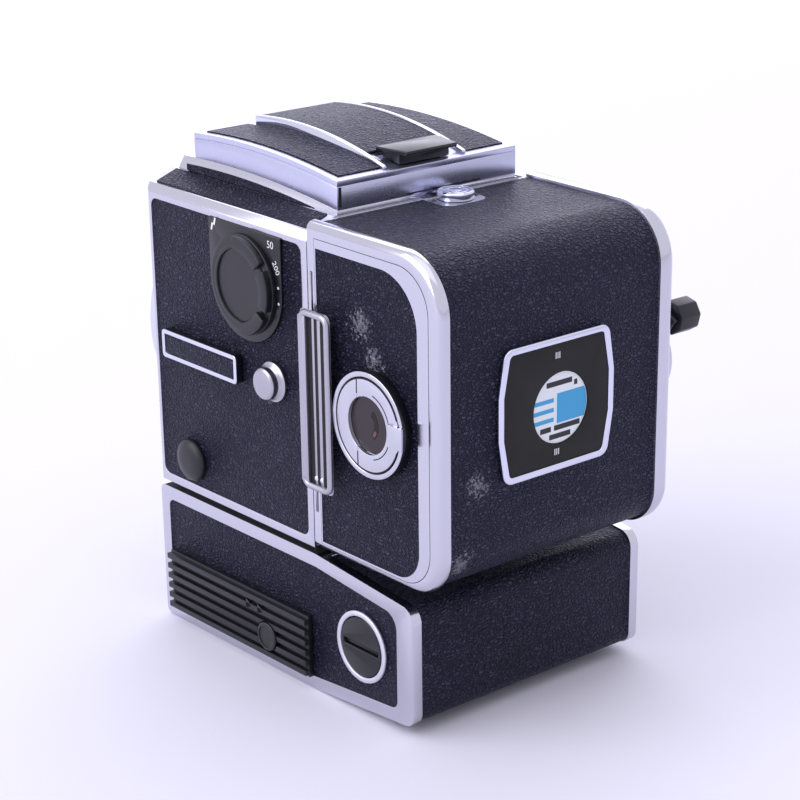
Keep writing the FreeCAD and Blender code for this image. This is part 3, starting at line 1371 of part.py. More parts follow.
# Winding crank: disc and folding handle
crank_disc = Piece("crank_disc")
crank_disc.pad("x", (-crank_thickness - skin_gap, -skin_gap), circle(0, 0, crank_radius))
crank_disc.pad("x", (-skin_gap, frame_width - running_gap), circle(0, 0, crank_shaft))
crank_disc.place(-half, crank_place, crank_height)
crank_handle = Piece("crank_handle")
arm_face = -crank_thickness - skin_gap - rest_gap
knob_face = arm_face - crank_arm_thickness
knob_end = crank_arm_length + crank_knob_overhang
crank_handle.pad("x", (knob_face, arm_face),
                 rectangle(-crank_arm_half, crank_arm_half, -crank_arm_half, crank_arm_length, soft_round))
crank_handle.pad("x", (knob_face - crank_knob_length, knob_face),
                 rectangle(-crank_knob, crank_knob, knob_end - crank_knob * 2, knob_end, edge_round))
crank_handle.place(-half, crank_place, crank_height, FreeCAD.Vector(1, 0, 0), -crank_turn)

# Check every object before anything is written
document.recompute()
for thing in document.Objects:
    assert "Invalid" not in thing.State and "Error" not in thing.State, (thing.Label, thing.State)
for feature in cuts:
    assert feature.Shape.Volume < feature.BaseFeature.Shape.Volume - 0.01, (feature.Name, "cut nothing")
for thing in pieces:
    assert not thing.Shape.isNull() and thing.Shape.isValid(), thing.Label

os.makedirs("parts", exist_ok=True)
for thing in pieces:
    thing.Shape.exportStep(f"parts/{thing.Label}.step")
    print(thing.Label, len(thing.Shape.Solids), round(thing.Shape.Volume, 1))
print("nodes", len(pieces))
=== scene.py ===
# %% [markdown]
# # A medium format camera, dressed for its portrait
# The solid model of the camera comes first and stays as it is: every size in this lesson is read from it.
# We load it and write down the few words that the rest needs.

# %% Load the solid model
import json
import math

import bmesh
import bpy
from mathutils import Matrix, Vector


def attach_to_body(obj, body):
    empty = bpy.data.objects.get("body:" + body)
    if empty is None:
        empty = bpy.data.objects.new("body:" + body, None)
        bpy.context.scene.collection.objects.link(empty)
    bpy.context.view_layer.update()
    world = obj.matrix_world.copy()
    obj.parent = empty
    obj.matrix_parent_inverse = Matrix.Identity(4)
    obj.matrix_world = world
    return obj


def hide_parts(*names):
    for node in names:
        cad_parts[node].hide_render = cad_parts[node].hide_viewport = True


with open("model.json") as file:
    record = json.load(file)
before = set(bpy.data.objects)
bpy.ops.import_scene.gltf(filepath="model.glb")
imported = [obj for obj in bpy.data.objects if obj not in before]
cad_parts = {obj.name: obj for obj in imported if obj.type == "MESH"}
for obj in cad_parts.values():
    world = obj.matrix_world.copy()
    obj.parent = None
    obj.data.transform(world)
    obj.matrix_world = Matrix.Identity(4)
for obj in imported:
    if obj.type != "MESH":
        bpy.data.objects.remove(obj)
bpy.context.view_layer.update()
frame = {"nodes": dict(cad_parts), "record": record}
nodes = frame["nodes"]
MM = 0.001

# %% [markdown]
# ## Camera
# The photograph was taken from the rear left and a little above. Its vanishing lines give the place, the turn and the
# long focal length. The picture is a crop of a larger one, so the lens axis isn't in its middle, and a small shift
# puts it back. All numbers are in the model's own frame.

# %% Place the camera
IMAGE = 800
FOCAL_PIXELS = 2360.8
AXIS_PIXEL = (499.1, 536.6)
CAMERA_PLACE, CAMERA_DEGREES = (0.4247, 0.5341, 0.3048), (-132.35, -22.34, 0.19)
yaw, pitch, roll = (math.radians(angle) for angle in CAMERA_DEGREES)
forward = Vector((math.cos(pitch) * math.cos(yaw), math.cos(pitch) * math.sin(yaw), math.sin(pitch)))
right = forward.cross(Vector((0, 0, 1))).normalized()
up = right.cross(forward)
right, up = right * math.cos(roll) + up * math.sin(roll), up * math.cos(roll) - right * math.sin(roll)
portrait = bpy.data.cameras.new("portrait_camera")
portrait.lens = FOCAL_PIXELS / IMAGE * portrait.sensor_width
portrait.shift_x = (IMAGE / 2 - AXIS_PIXEL[0]) / IMAGE
portrait.shift_y = (AXIS_PIXEL[1] - IMAGE / 2) / IMAGE
portrait.clip_start = 0.01
camera = bpy.data.objects.new("portrait_camera", portrait)
turn = Matrix((right, up, -forward)).transposed().to_4x4()
camera.matrix_world = Matrix.Translation(CAMERA_PLACE) @ turn
bpy.context.scene.collection.objects.link(camera)
bpy.context.scene.camera = camera
print("lens", round(portrait.lens, 1), "shift", round(portrait.shift_x, 3), round(portrait.shift_y, 3))

# %% [markdown]
# ## Selecting by place
# Operators work on whatever is selected, so a maker selects first. These helpers leave one object active, open it
# for editing, and pick edges by a test on their middle and direction, as a hand would do with the mouse.

# %% Helpers for selecting
def deselect():
    bpy.ops.object.select_all(action="DESELECT")


def take(*objects):
    """Leave only these objects selected, the last one active."""
    deselect()
    for thing in objects:
        thing.select_set(True)
    bpy.context.view_layer.objects.active = objects[-1]


def edit(piece, mode):
    """Open one piece in edit mode with nothing selected."""
    take(piece)
    bpy.ops.object.mode_set(mode="EDIT")
    bpy.context.tool_settings.mesh_select_mode = (mode == "VERT", mode == "EDGE", mode == "FACE")
    bpy.ops.mesh.select_all(action="DESELECT")
    return bmesh.from_edit_mesh(piece.data)


def edit_all(piece, mode="VERT"):
    """Open one piece in edit mode with all of it selected."""
    edit(piece, mode)
    bpy.ops.mesh.select_all(action="SELECT")


def pick(piece, test):
    """Select the edges whose middle (mm) and direction pass a test, and count them."""
    mesh = edit(piece, "EDGE")
    count = 0
    for edge in mesh.edges:
        start, end = edge.verts[0].co, edge.verts[1].co
        if test((start + end) * 1000 / 2, (end - start).normalized()):
            edge.select_set(True)
            count += 1
    bmesh.update_edit_mesh(piece.data)
    return count


def leave():
    bpy.ops.object.mode_set(mode="OBJECT")


# %% [markdown]
# ## Finishes
# Real cameras of this kind use few finishes: chromed brass and die-cast trim, satin aluminium, grained leatherette,
# black paint, black moulded plastic and glass. Each material below is one of them. Colours are written as sRGB hex
# values, and pattern scales come from real sizes in millimetres, because the model is in metres.

# %% Helpers for materials
def colour(code):
    """Turn an sRGB hex value into the linear colour that shaders use."""
    parts = [int(code[i:i + 2], 16) / 255 for i in (1, 3, 5)]
    linear = [p / 12.92 if p <= 0.04045 else ((p + 0.055) / 1.055) ** 2.4 for p in parts]
    return (*linear, 1.0)


def per_mm(size):
    """Texture scale that gives features of this many millimetres."""
    return 1 / (size * MM)


def add_node(material, kind, settings=None, **inputs):
    """Add one node, set its properties, fill its sockets with values or links, and hand back what comes out of it."""
    node = material.node_tree.nodes.new("ShaderNode" + kind)
    for name, value in (settings or {}).items():
        setattr(node, name, value)
    for name, value in inputs.items():
        key = int(name[1:]) if name[0] == "n" and name[1:].isdigit() else name.replace("_", " ")
        if isinstance(value, bpy.types.NodeSocket):
            material.node_tree.links.new(value, node.inputs[key])
        else:
            node.inputs[key].default_value = value
    return node.outputs


def blank(name, **shader):
    """A material with a main shader set to typical values for its finish."""
    material = bpy.data.materials.new(name)
    material.use_nodes = True
    main = material.node_tree.nodes["Principled BSDF"]
    for key, value in shader.items():
        main.inputs[key.replace("_", " ")].default_value = value
    material.diffuse_color = shader.get("Base_Color", (0.5, 0.5, 0.5, 1))
    return material, main


def feed(main, **links):
    """Link values into sockets of the main shader."""
    for key, value in links.items():
        main.id_data.links.new(value, main.inputs[key.replace("_", " ")])


# %% [markdown]
# ### Leatherette
# Vinyl-coated cloth pressed with a fine pebble grain: black, a little glossy on the tops of the pebbles, with narrow
# valleys between them. A Voronoi pattern gives the pebbles, about a millimetre across. It is stretched one way, so
# that they lie longer than high, and a noise bends them so that no two are alike. The height goes to bump. The real
# grain is a tenth of a millimetre deep, and it is drawn deeper, so that it shows in a picture of the whole camera.
# The colour also carries painted light: the pebble tops are coloured lighter as a painted highlight, and the valleys
# near black as painted shade.

# %% Leatherette
PEBBLE, PEBBLE_TILT, PEBBLE_STRETCH = 1.05, (0.15, 0.15, 0.1), (0.7, 0.7, 1.3)
VALLEY_EDGE, PEBBLE_TOP, RELIEF = 0.03, 0.3, 0.0014
SWAY, SWAY_SHARE, PORE, PORE_SHARE, CLOUD = 2.2, 0.0012, 0.45, 0.35, 14
SPECK, SPECK_REACH, SCUFF_FROM, SCUFF_FULL = 1.1, 0.3, 0.70, 0.74


def leatherette(name, wear=()):
    """Black grained covering; wear lists (centre in mm, radius in mm) of places with pale scuffs."""
    material, main = blank(name, Base_Color=colour("#111119"), Roughness=0.42, Specular_IOR_Level=0.38,
                           Specular_Tint=colour("#BCBCFF"))
    place = add_node(material, "TexCoord")["Object"]
    pulled = add_node(material, "Mapping", Vector=place, Rotation=PEBBLE_TILT, Scale=PEBBLE_STRETCH)[0]
    sway = add_node(material, "TexNoise", Vector=place, Scale=per_mm(SWAY), Detail=2.0)["Color"]
    bent = add_node(material, "MixRGB", {"blend_type": "LINEAR_LIGHT"}, Fac=SWAY_SHARE, Color1=pulled,
                    Color2=sway)[0]
    cells = add_node(material, "TexVoronoi", {"feature": "DISTANCE_TO_EDGE"}, Vector=bent,
                     Scale=per_mm(PEBBLE))["Distance"]
    valley = add_node(material, "MapRange", {"interpolation_type": "SMOOTHSTEP"}, n0=cells,
                      n1=VALLEY_EDGE, n2=PEBBLE_TOP)[0]
    pores = add_node(material, "TexNoise", Vector=place, Scale=per_mm(PORE), Detail=3.0)["Fac"]
    low_pores = add_node(material, "Math", {"operation": "MULTIPLY"}, n0=pores, n1=PORE_SHARE)[0]
    height = add_node(material, "Math", n0=valley, n1=low_pores)[0]
    bump = add_node(material, "Bump", Strength=1.0, Distance=RELIEF, Height=height)[0]
    cloud = add_node(material, "TexNoise", Vector=place, Scale=per_mm(CLOUD), Detail=4.0)["Fac"]
    # Painted highlight and shade: the pebble tops get a lighter, bluish colour and the valleys a near-black one.
    pebble_top_highlight = add_node(material, "ValToRGB", Fac=cloud)["Color"]
    for stop, position, code in zip(pebble_top_highlight.node.color_ramp.elements, (0.3, 0.75), ("#353548", "#434359")):
        stop.position, stop.color = position, colour(code)
    tone = add_node(material, "MixRGB", Fac=valley, Color1=colour("#07070C"), Color2=pebble_top_highlight)[0]
    if wear:
        total = None
        for centre, radius in wear:
            shifted = add_node(material, "Mapping", Vector=place, Location=[-c / radius for c in centre],
                               Scale=[per_mm(radius)] * 3)[0]
            ball = add_node(material, "TexGradient", {"gradient_type": "SPHERICAL"}, Vector=shifted)["Fac"]
            total = ball if total is None else add_node(
                material, "Math", {"operation": "MAXIMUM"}, n0=total, n1=ball)[0]
        specks = add_node(material, "TexNoise", Vector=place, Scale=per_mm(SPECK), Detail=6.0,
                          Roughness=0.75)["Fac"]
        reach = add_node(material, "Math", {"operation": "MULTIPLY_ADD"}, n0=total, n1=SPECK_REACH,
                         n2=specks)[0]
        scuff = add_node(material, "MapRange", n0=reach, n1=SCUFF_FROM, n2=SCUFF_FULL)[0]
        tone = add_node(material, "MixRGB", Fac=scuff, Color1=tone, Color2=colour("#8F8F98"))[0]
    gloss = add_node(material, "MapRange", n0=cloud, n3=0.34, n4=0.46)[0]
    feed(main, Base_Color=tone, Roughness=gloss, Normal=bump)
    return material


black_leatherette = leatherette("black_grained_leatherette")
WORN_SPOTS = (((43.8, 60.5, 117.0), 9), ((43.8, 66.0, 107.5), 8), ((30.5, 93.3, 76.5), 8), ((36.5, 92.5, 55.0), 8))
worn_leatherette = leatherette("worn_grained_leatherette", WORN_SPOTS)
print("pebble scale per metre", round(per_mm(PEBBLE)))

# %% [markdown]
# ### Chrome and aluminium
# The trim is satin and bright chrome plate: metallic, pale and slightly blue. Handling leaves faint smears, so the
# roughness wanders a little over a few centimetres. The hood is brushed aluminium sheet with a finer, duller grain:
# a noise stretched along the brushing direction draws it.

# %% Chrome and aluminium
SMEAR, FINE_RELIEF = 18, 0.00003


def plated(name, code, low, high, grain=0.0, stretch=(1, 1, 1), grain_size=0.25):
    """A plated or brushed metal: smears change the roughness and a fine grain the surface."""
    material, main = blank(name, Base_Color=colour(code), Metallic=1.0, Roughness=(low + high) / 2)
    place = add_node(material, "TexCoord")["Object"]
    smear = add_node(material, "TexNoise", Vector=place, Scale=per_mm(SMEAR), Detail=5.0,
                     Roughness=0.6)["Fac"]
    feed(main, Roughness=add_node(material, "MapRange", n0=smear, n3=low, n4=high)[0])
    if grain:
        pulled = add_node(material, "Mapping", Vector=place, Scale=stretch)[0]
        lines = add_node(material, "TexNoise", Vector=pulled, Scale=per_mm(grain_size), Detail=2.0)["Fac"]
        feed(main, Normal=add_node(material, "Bump", Strength=grain, Distance=FINE_RELIEF,
                                   Height=lines)[0])
    return material


satin_chrome = plated("satin_chrome_plate", "#CBCBD6", 0.12, 0.24, 0.10)
bright_chrome = plated("bright_chrome_plate", "#D9DBEC", 0.08, 0.16)
satin_aluminium = plated("satin_aluminium_sheet", "#C4C6DD", 0.22, 0.34, 0.35, (0.05, 1, 1), 0.3)
matte_anodised = plated("matte_anodised_aluminium", "#D9D9E4", 0.5, 0.6, 0.2)
brushed_steel = plated("brushed_stainless_steel", "#B4B2BC", 0.22, 0.36, 0.3, (1, 1, 0.04), 0.3)
machined_brass = plated("machined_brass", "#C9A55A", 0.2, 0.35, 0.2)

# %% [markdown]
# ### Paint, plastic, rubber and glass
# Black parts differ mostly in gloss: stove enamel on metal, fine-textured moulded plastic, and dull inner paint that
# keeps light from bouncing. The dull black also serves as painted shade in gaps, seams, a slot and the pull's loop.
# One function makes them all, from a colour, a gloss and a texture size.

# %% Paint and plastic
DUST = 9


def moulded(name, code, gloss, texture_size=0.35, relief=0.25, **shader):
    """Painted or moulded surface with a fine texture of the given size in millimetres."""
    material, main = blank(name, Base_Color=colour(code), Roughness=gloss, **shader)
    place = add_node(material, "TexCoord")["Object"]
    fine = add_node(material, "TexNoise", Vector=place, Scale=per_mm(texture_size), Detail=3.0)["Fac"]
    bump = add_node(material, "Bump", Strength=relief, Distance=FINE_RELIEF, Height=fine)[0]
    dust = add_node(material, "TexNoise", Vector=place, Scale=per_mm(DUST), Detail=6.0)["Fac"]
    gloss = add_node(material, "MapRange", n0=dust, n3=gloss - 0.06, n4=gloss + 0.08)[0]
    feed(main, Roughness=gloss, Normal=bump)
    return material


black_plastic = moulded("black_moulded_plastic", "#14141B", 0.36)
black_enamel = moulded("black_stove_enamel", "#121219", 0.27, relief=0.1)
# Dull black: real inner paint on the flaps and shades, and painted shade where it lies in gaps, seams and slots.
dull_black = moulded("dull_black_paint_and_painted_shade", "#0E0E10", 0.75, 0.5, 0.4)
white_ink = moulded("white_filled_marking", "#E8E8EC", 0.5, relief=0.05)
red_paint = moulded("red_index_paint", "#B5252B", 0.4, relief=0.05)
green_laminate = moulded("green_board_laminate", "#14532F", 0.35)
blue_sleeve = moulded("blue_cell_sleeve", "#24466E", 0.3)
front_mirror = blank("front_silvered_mirror", Base_Color=colour("#E2E5EA"), Metallic=1.0, Roughness=0.02)[0]
lens_glass = blank("coated_lens_glass", Base_Color=colour("#F2F6FA"), Roughness=0.02, Transmission_Weight=1.0,
                   IOR=1.52)[0]
print("materials", len(bpy.data.materials))

# %% [markdown]
# ### Ground glass
# The screen under the hood is glass with a matted underside and fine ruled lines for composing. It is milky rather
# than clear. A wave pattern would repeat too often, so two thin lines each way are drawn with simple mathematics.

# %% Ground glass with ruled lines
LINE_OFF_CENTRE, LINE_HALF_WIDTH = 9.3, 0.08
ground_glass, _main = blank("ground_focusing_glass", Base_Color=colour("#A9ADAC"), Roughness=0.45,
                            Transmission_Weight=0.25, IOR=1.5)
_place = add_node(ground_glass, "TexCoord")["Object"]
_axes = add_node(ground_glass, "SeparateXYZ", Vector=_place)
_line = None
for _axis in ("X", "Y"):
    for _at in (-LINE_OFF_CENTRE, LINE_OFF_CENTRE):
        _off = add_node(ground_glass, "Math", {"operation": "COMPARE"}, n0=_axes[_axis],
                        n1=_at * MM, n2=LINE_HALF_WIDTH * MM)[0]
        _line = _off if _line is None else add_node(
            ground_glass, "Math", {"operation": "MAXIMUM"}, n0=_line, n1=_off)[0]
feed(_main, Base_Color=add_node(ground_glass, "MixRGB", Fac=_line, Color1=colour("#A9ADAC"),
                                Color2=colour("#2A2C2C"))[0])

# %% [markdown]
# ## Dressing the solid nodes
# A solid whose shape is already right keeps its mesh and only gets a finish. Where an edge would look knife sharp, a
# copy is used in its place: doubles merged, flat triangles joined again, then a small bevel, as a deburring tool
# leaves on the real part. The insert's side plate is flat, so its copy is shaded flat as well.

# %% Finishes for nodes that stay as they are
FINISHES = (
    (black_leatherette, ("left_leather", "right_leather", "front_leather", "shoulder_leathers",
                         "base_side_leathers", "base_end_leathers")),
    (worn_leatherette, ("magazine_wrap_leather", "insert_leather")),
    (dull_black, ("upper_flap", "lower_flap", "left_shade", "right_shade", "rear_shade")),
    (black_enamel, ("magnifier_arm", "insert_frame")), (black_plastic, ("feed_spool", "take_up_spool")),
    (brushed_steel, ("hinge_pins", "drive_motor")), (machined_brass, ("motor_pinion", "drive_gear")),
    (front_mirror, ("mirror",)), (ground_glass, ("focusing_screen",)), (lens_glass, ("magnifier_lens",)),
    (blue_sleeve, ("battery_cells",)), (green_laminate, ("circuit_board",)),
)


def paint(piece, material):
    """Give a piece this one finish."""
    piece.data.materials.clear()
    piece.data.materials.append(material)


for _finish, _names in FINISHES:
    for _name in _names:
        paint(nodes[_name], _finish)
print("dressed", sum(len(_names) for _, _names in FINISHES), "nodes")

# %% Softened copies
BODY_OF = {node: body for body, members in frame["record"]["behaviour"]["bodies"].items() for node in members}
WELD = 0.002


def smooth(piece, angle=35):
    take(piece)
    bpy.ops.object.shade_smooth_by_angle(angle=math.radians(angle), keep_sharp_edges=False)


def bevel(piece, width, segments=2, angle=30):
    """Round every edge sharper than the angle, width in millimetres."""
    take(piece)
    round_edge = piece.modifiers.new("edge_round", "BEVEL")
    round_edge.width = width * MM
    round_edge.segments = segments
    round_edge.limit_method = "ANGLE"
    round_edge.angle_limit = math.radians(angle)
    round_edge.use_clamp_overlap = True
    bpy.ops.object.modifier_apply(modifier=round_edge.name)


def round_edges(piece, width, segments, test):
    """Round only the edges that pass a test, and count them."""
    count = pick(piece, test)
    if count:
        bpy.ops.mesh.bevel(offset=width * MM, segments=segments, clamp_overlap=True)
    leave()
    return count


def welded(name, node):
    """A copy of a node's mesh with its doubles merged, open in edit mode."""
    copy = bpy.data.objects.new(name, nodes[node].data.copy())
    bpy.context.scene.collection.objects.link(copy)
    edit_all(copy)
    bpy.ops.mesh.remove_doubles(threshold=WELD * MM)
    return copy


def softened(node, material, width=0.3, segments=2):
    """A copy of a node with small rounded edges, which then stands for it."""
    copy = welded("soft_" + node, node)
    if width:
        bpy.ops.mesh.dissolve_limited(angle_limit=math.radians(0.5))
    leave()
    if width:
        bevel(copy, width, segments)
    paint(copy, material)
    smooth(copy)
    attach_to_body(copy, BODY_OF[node])
    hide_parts(node)
    return copy


SOFTENED = (
    ("body_shell", satin_chrome, 0.45), ("hood_frame", satin_aluminium, 0.12), ("hood_lid", satin_aluminium, 0.15),
    ("lid_ribs", bright_chrome, 0.35), ("base_shell", satin_chrome, 0.6), ("battery_door", black_plastic, 0.35),
    ("magazine_left_frame", satin_chrome, 0.4), ("magazine_right_frame", satin_chrome, 0.4),
    ("insert_side_plate", satin_chrome, 0.0), ("memo_frame", bright_chrome, 0.45), ("dark_slide", brushed_steel, 0.1),
    ("tripod_plate", brushed_steel, 0.3), ("dial_plate", black_enamel, 0.2), ("coin_cap_ring", matte_anodised, 0.35),
    ("insert_lock_ring", satin_chrome, 0.3), ("accessory_rail", bright_chrome, 0.3),
)
soft = {}
for _node, _finish, _width in SOFTENED:
    soft[_node] = softened(_node, _finish, _width)
    print(_node, "faces", len(soft[_node].data.polygons))
take(soft["insert_side_plate"])
bpy.ops.object.shade_flat()

# %% [markdown]
# ## Making new pieces
# A few moves make nearly everything on this camera. A bar or a slab is added at its size and place, its end face is
# shaped step by step with inset and extrude, sectors are swept with spin, and what has a hole or slot is cut. Places
# are read from the solid model's own boxes, so the pieces sit where the solids are.

# %% Helpers for modelling
def reach(node):
    """Lowest and highest corner of a solid node and the point between them, in millimetres."""
    points = [corner.co * 1000 for corner in nodes[node].data.vertices]
    low = Vector([min(point[i] for point in points) for i in range(3)])
    high = Vector([max(point[i] for point in points) for i in range(3)])
    return low, high, [(a + b) / 2 for a, b in zip(low, high)]


def settle(name, material=None):
    """Name the new object, put its place into its mesh and paint it."""
    piece = bpy.context.object
    piece.name = name
    bpy.ops.object.transform_apply(location=True, rotation=True, scale=True)
    if material:
        paint(piece, material)
    return piece


def heading(toward):
    """Direction for a word such as '+X' or '-Y'."""
    direction = Vector((0, 0, 0))
    direction["XYZ".index(toward[1])] = 1 if toward[0] == "+" else -1
    return direction


def bar(name, base, toward, radius, length, material=None, sides=72):
    """A round bar from a base point along an axis, in millimetres."""
    direction = heading(toward)
    deselect()
    bpy.ops.mesh.primitive_cylinder_add(
        vertices=sides, radius=radius * MM, depth=length * MM,
        location=(Vector(base) + direction * length / 2) * MM,
        rotation=Vector((0, 0, 1)).rotation_difference(direction).to_euler())
    return settle(name, material)


def slab(name, low, high, material=None):
    """A box between two corners, in millimetres."""
    low, high = Vector(low), Vector(high)
    deselect()
    bpy.ops.mesh.primitive_cube_add(size=1, location=(low + high) / 2 * MM, scale=(high - low) * MM)
    return settle(name, material)


def shape(piece, toward, *steps):
    """Work the end face that looks one way: (inset, rise) in millimetres, a slope where both are given."""
    direction = heading(toward)
    mesh = edit(piece, "FACE")
    ends = [face for face in mesh.faces if face.normal.dot(direction) > 0.99]
    max(ends, key=lambda face: face.calc_center_median().dot(direction)).select_set(True)
    bmesh.update_edit_mesh(piece.data)
    for inset, rise in steps:
        if inset:
            bpy.ops.mesh.inset(thickness=inset * MM, depth=rise * MM)
        else:
            bpy.ops.mesh.extrude_region_move(TRANSFORM_OT_translate={"value": direction * rise * MM})
    leave()
    return piece


def turned(piece, centre, degrees):
    """Turn a piece along X about a point in millimetres and put the turn into its mesh."""
    middle = Matrix.Translation(Vector(centre) * MM)
    piece.matrix_world = middle @ Matrix.Rotation(math.radians(degrees), 4, "X") @ middle.inverted()
    take(piece)
    bpy.ops.object.transform_apply(location=True, rotation=True, scale=True)
    return piece


def sector(name, centre, depth, inner, outer, middle, sweep, material=None, steps=24):
    """Sweep a block about the X axis; angles in degrees from +Y towards +Z, depth is its span in x."""
    _, y, z = centre
    deselect()
    bpy.ops.mesh.primitive_plane_add(
        size=1, location=((depth[0] + depth[1]) / 2 * MM, (y + (inner + outer) / 2) * MM, z * MM))
    piece = bpy.context.object
    piece.scale = ((depth[1] - depth[0]) * MM, (outer - inner) * MM, 1)
    bpy.ops.object.transform_apply(location=True, scale=True)
    edit_all(piece, "FACE")
    bpy.ops.mesh.spin(steps=steps, angle=math.radians(sweep), center=Vector(centre) * MM, axis=(1, 0, 0))
    bpy.ops.mesh.select_all(action="SELECT")
    bpy.ops.mesh.remove_doubles(threshold=0.001 * MM)
    bpy.ops.mesh.normals_make_consistent(inside=False)
    leave()
    corners = [corner.co for corner in piece.data.vertices]
    mean = sum(corners, Vector()) / len(corners) - Vector(centre) * MM
    turned(piece, centre, middle - math.degrees(math.atan2(mean.z, mean.y)))
    return settle(name, material)


def cut(piece, tool, how="DIFFERENCE"):
    """Take a tool's shape out of a piece, or with INTERSECT keep only what lies inside it."""
    take(piece)
    knife = piece.modifiers.new("cut", "BOOLEAN")
    knife.operation, knife.object, knife.solver = how, tool, "EXACT"
    bpy.ops.object.modifier_apply(modifier=knife.name)
    bpy.data.objects.remove(tool)
    return piece


def join(name, *parts):
    """Make one object of several pieces that are one piece in the hand."""
    take(*parts)
    bpy.ops.object.join()
    bpy.context.object.name = name
    return bpy.context.object


def coat(piece, material, test):
    """Give a second finish to the faces whose place (mm) and direction pass a test."""
    piece.data.materials.append(material)
    for face in piece.data.polygons:
        if test(face.center * 1000, face.normal):
            face.material_index = len(piece.data.materials) - 1
    return piece


def place(piece, node, width=0.15, segments=2, stands=True):
    """Break the edges, shade smoothly, let the piece ride with its node's body and, as a rule, stand for the node."""
    if width:
        bevel(piece, width, segments)
    smooth(piece)
    print(piece.name, "mm", [round(v * 1000, 1) for v in piece.dimensions])
    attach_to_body(piece, BODY_OF[node])
    if stands:
        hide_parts(node)
    return piece


def attach(piece, node, width=0, segments=1):
    """Add a piece that rides along and leaves the node's own shape in sight."""
    return place(piece, node, width, segments, False)

# %% [markdown]
# ## Body and base castings
# The castings have round outer corners that catch the light, so only those edges are picked and rounded further. Body
# and base stand a little apart. Hardly any light comes out of so narrow a gap, so its two faces, with the base's top
# under the magazine, are coloured dull black as painted shade, and a thin dark strip of painted shade lies in the
# seam between the body and the magazine.

# %% Rounded castings and painted shade in the seams
OUTER_ROUND, OUTER_SIDE = 1.3, 43.3
SEAM_IN, SEAM_OUT, SEAM_TOP = 43.6, 44.0, 134.0
RIMS = {
    "base_shell": lambda at: at.y > _high.y - 1.5 or at.y < _low.y + 1.0 or at.z > _high.z - 4.6 or at.z < 3.8,
    "body_shell": lambda at: at.z > 134.4 or at.y < _low.y + 1.0,
}
for _node, _rim in RIMS.items():
    _low, _high, _ = reach(_node)
    _count = round_edges(soft[_node], OUTER_ROUND, 4, lambda at, run: abs(at.x) > OUTER_SIDE and _rim(at))
    print(_node, "outer edges rounded", _count)
    smooth(soft[_node])
gap_low, gap_high = reach("base_shell")[1].z, reach("body_shell")[0].z
print("gap between body and base from", round(gap_low, 2), "to", round(gap_high, 2))
# Painted shade: the base's top faces and the body's underside are coloured dull black.
coat(soft["base_shell"], dull_black, lambda at, facing: facing.z > 0.98 and at.z > gap_low - 0.1)
coat(soft["body_shell"], dull_black, lambda at, facing: facing.z < -0.98 and at.z < gap_high + 0.1)
seam_y = reach("magazine_shell")[0].y
# Painted shade: a dull black strip in the seam between the body and the magazine.
seam = slab("rear_seam_shade", (SEAM_IN, seam_y - 0.25, gap_high + 1.0), (SEAM_OUT, seam_y + 0.02, SEAM_TOP),
            dull_black)
attach(seam, "body_shell")

# %% [markdown]
# ## Lens mount
# The ring keeps its solid shape with softened edges. A red index dot and two white ones tell the user how to turn a
# lens. The lens catch beside it is a small button with a dished face.

# %% Mount ring marks and lens catch
DOT_CIRCLE, CATCH_RADIUS = 36.3, 3.5
soft["mount_ring"] = softened("mount_ring", bright_chrome, 0.3)
_low, _, (_, _, mount_height) = reach("mount_ring")
mount_face = _low.y
for _name, _angle, _size, _ink in (("index_dot", 90, 1.3, red_paint), ("left_dot", 60, 0.7, white_ink),
                                   ("right_dot", 120, 0.7, white_ink)):
    _turn = math.radians(_angle)
    _spot = (DOT_CIRCLE * math.cos(_turn), mount_face + 0.2, mount_height + DOT_CIRCLE * math.sin(_turn))
    attach(bar("mount_" + _name, _spot, "-Y", _size, 0.19, _ink, 24), "mount_ring", 0.03)
_low, _high, (_x, _, _z) = reach("lens_catch_button")
catch = bar("lens_catch", (_x, _high.y, _z), "-Y", CATCH_RADIUS, _high.y - _low.y - 0.2, bright_chrome)
shape(catch, "-Y", (0.45, 0.2), (0.9, 0), (0, -0.5), (0.8, 0.1))
place(catch, "lens_catch_button", 0.12)
print("mount face at", round(mount_face, 2), "mm")

# %% [markdown]
# ## Strap lugs
# Each lug is a stud: a round foot, a cone and a flat head that a strap's eye slips over. One is modelled, and the
# other is its mirror image.

# %% Strap lugs
LUG_FOOT, LUG_NECK, LUG_FOOT_RADIUS, LUG_HEAD_RADIUS = 43.7, 2.3, 5.9, 4.7
_, _, (_, lug_y, lug_z) = reach("strap_lugs")
lug = bar("lug", (LUG_FOOT, lug_y, lug_z), "+X", LUG_FOOT_RADIUS, 0.9, brushed_steel)
shape(lug, "+X", (0.5, 0.15), (0.5, 0.45), (1.1, 1.35))
lug_head = bar("lug_head", (LUG_FOOT + LUG_NECK, lug_y, lug_z), "+X", LUG_HEAD_RADIUS, 1.7, brushed_steel)
shape(lug_head, "+X", (0.5, 0.5), (1.6, 0.3), (1.3, 0.1))
lug = join("left_lug", lug, lug_head)
bevel(lug, 0.12)
other_lug = lug.copy()
other_lug.data = lug.data.copy()
bpy.context.scene.collection.objects.link(other_lug)
edit_all(other_lug)
bpy.ops.transform.resize(value=(-1, 1, 1), center_override=(0, 0, 0))
bpy.ops.mesh.flip_normals()
leave()
place(join("strap_lug_pair", lug, other_lug), "strap_lugs", 0)

# %% [markdown]
# ## Accessory rail
# The rail's face is a polished frame round a leather inlay, and its sides under the face are blackened.

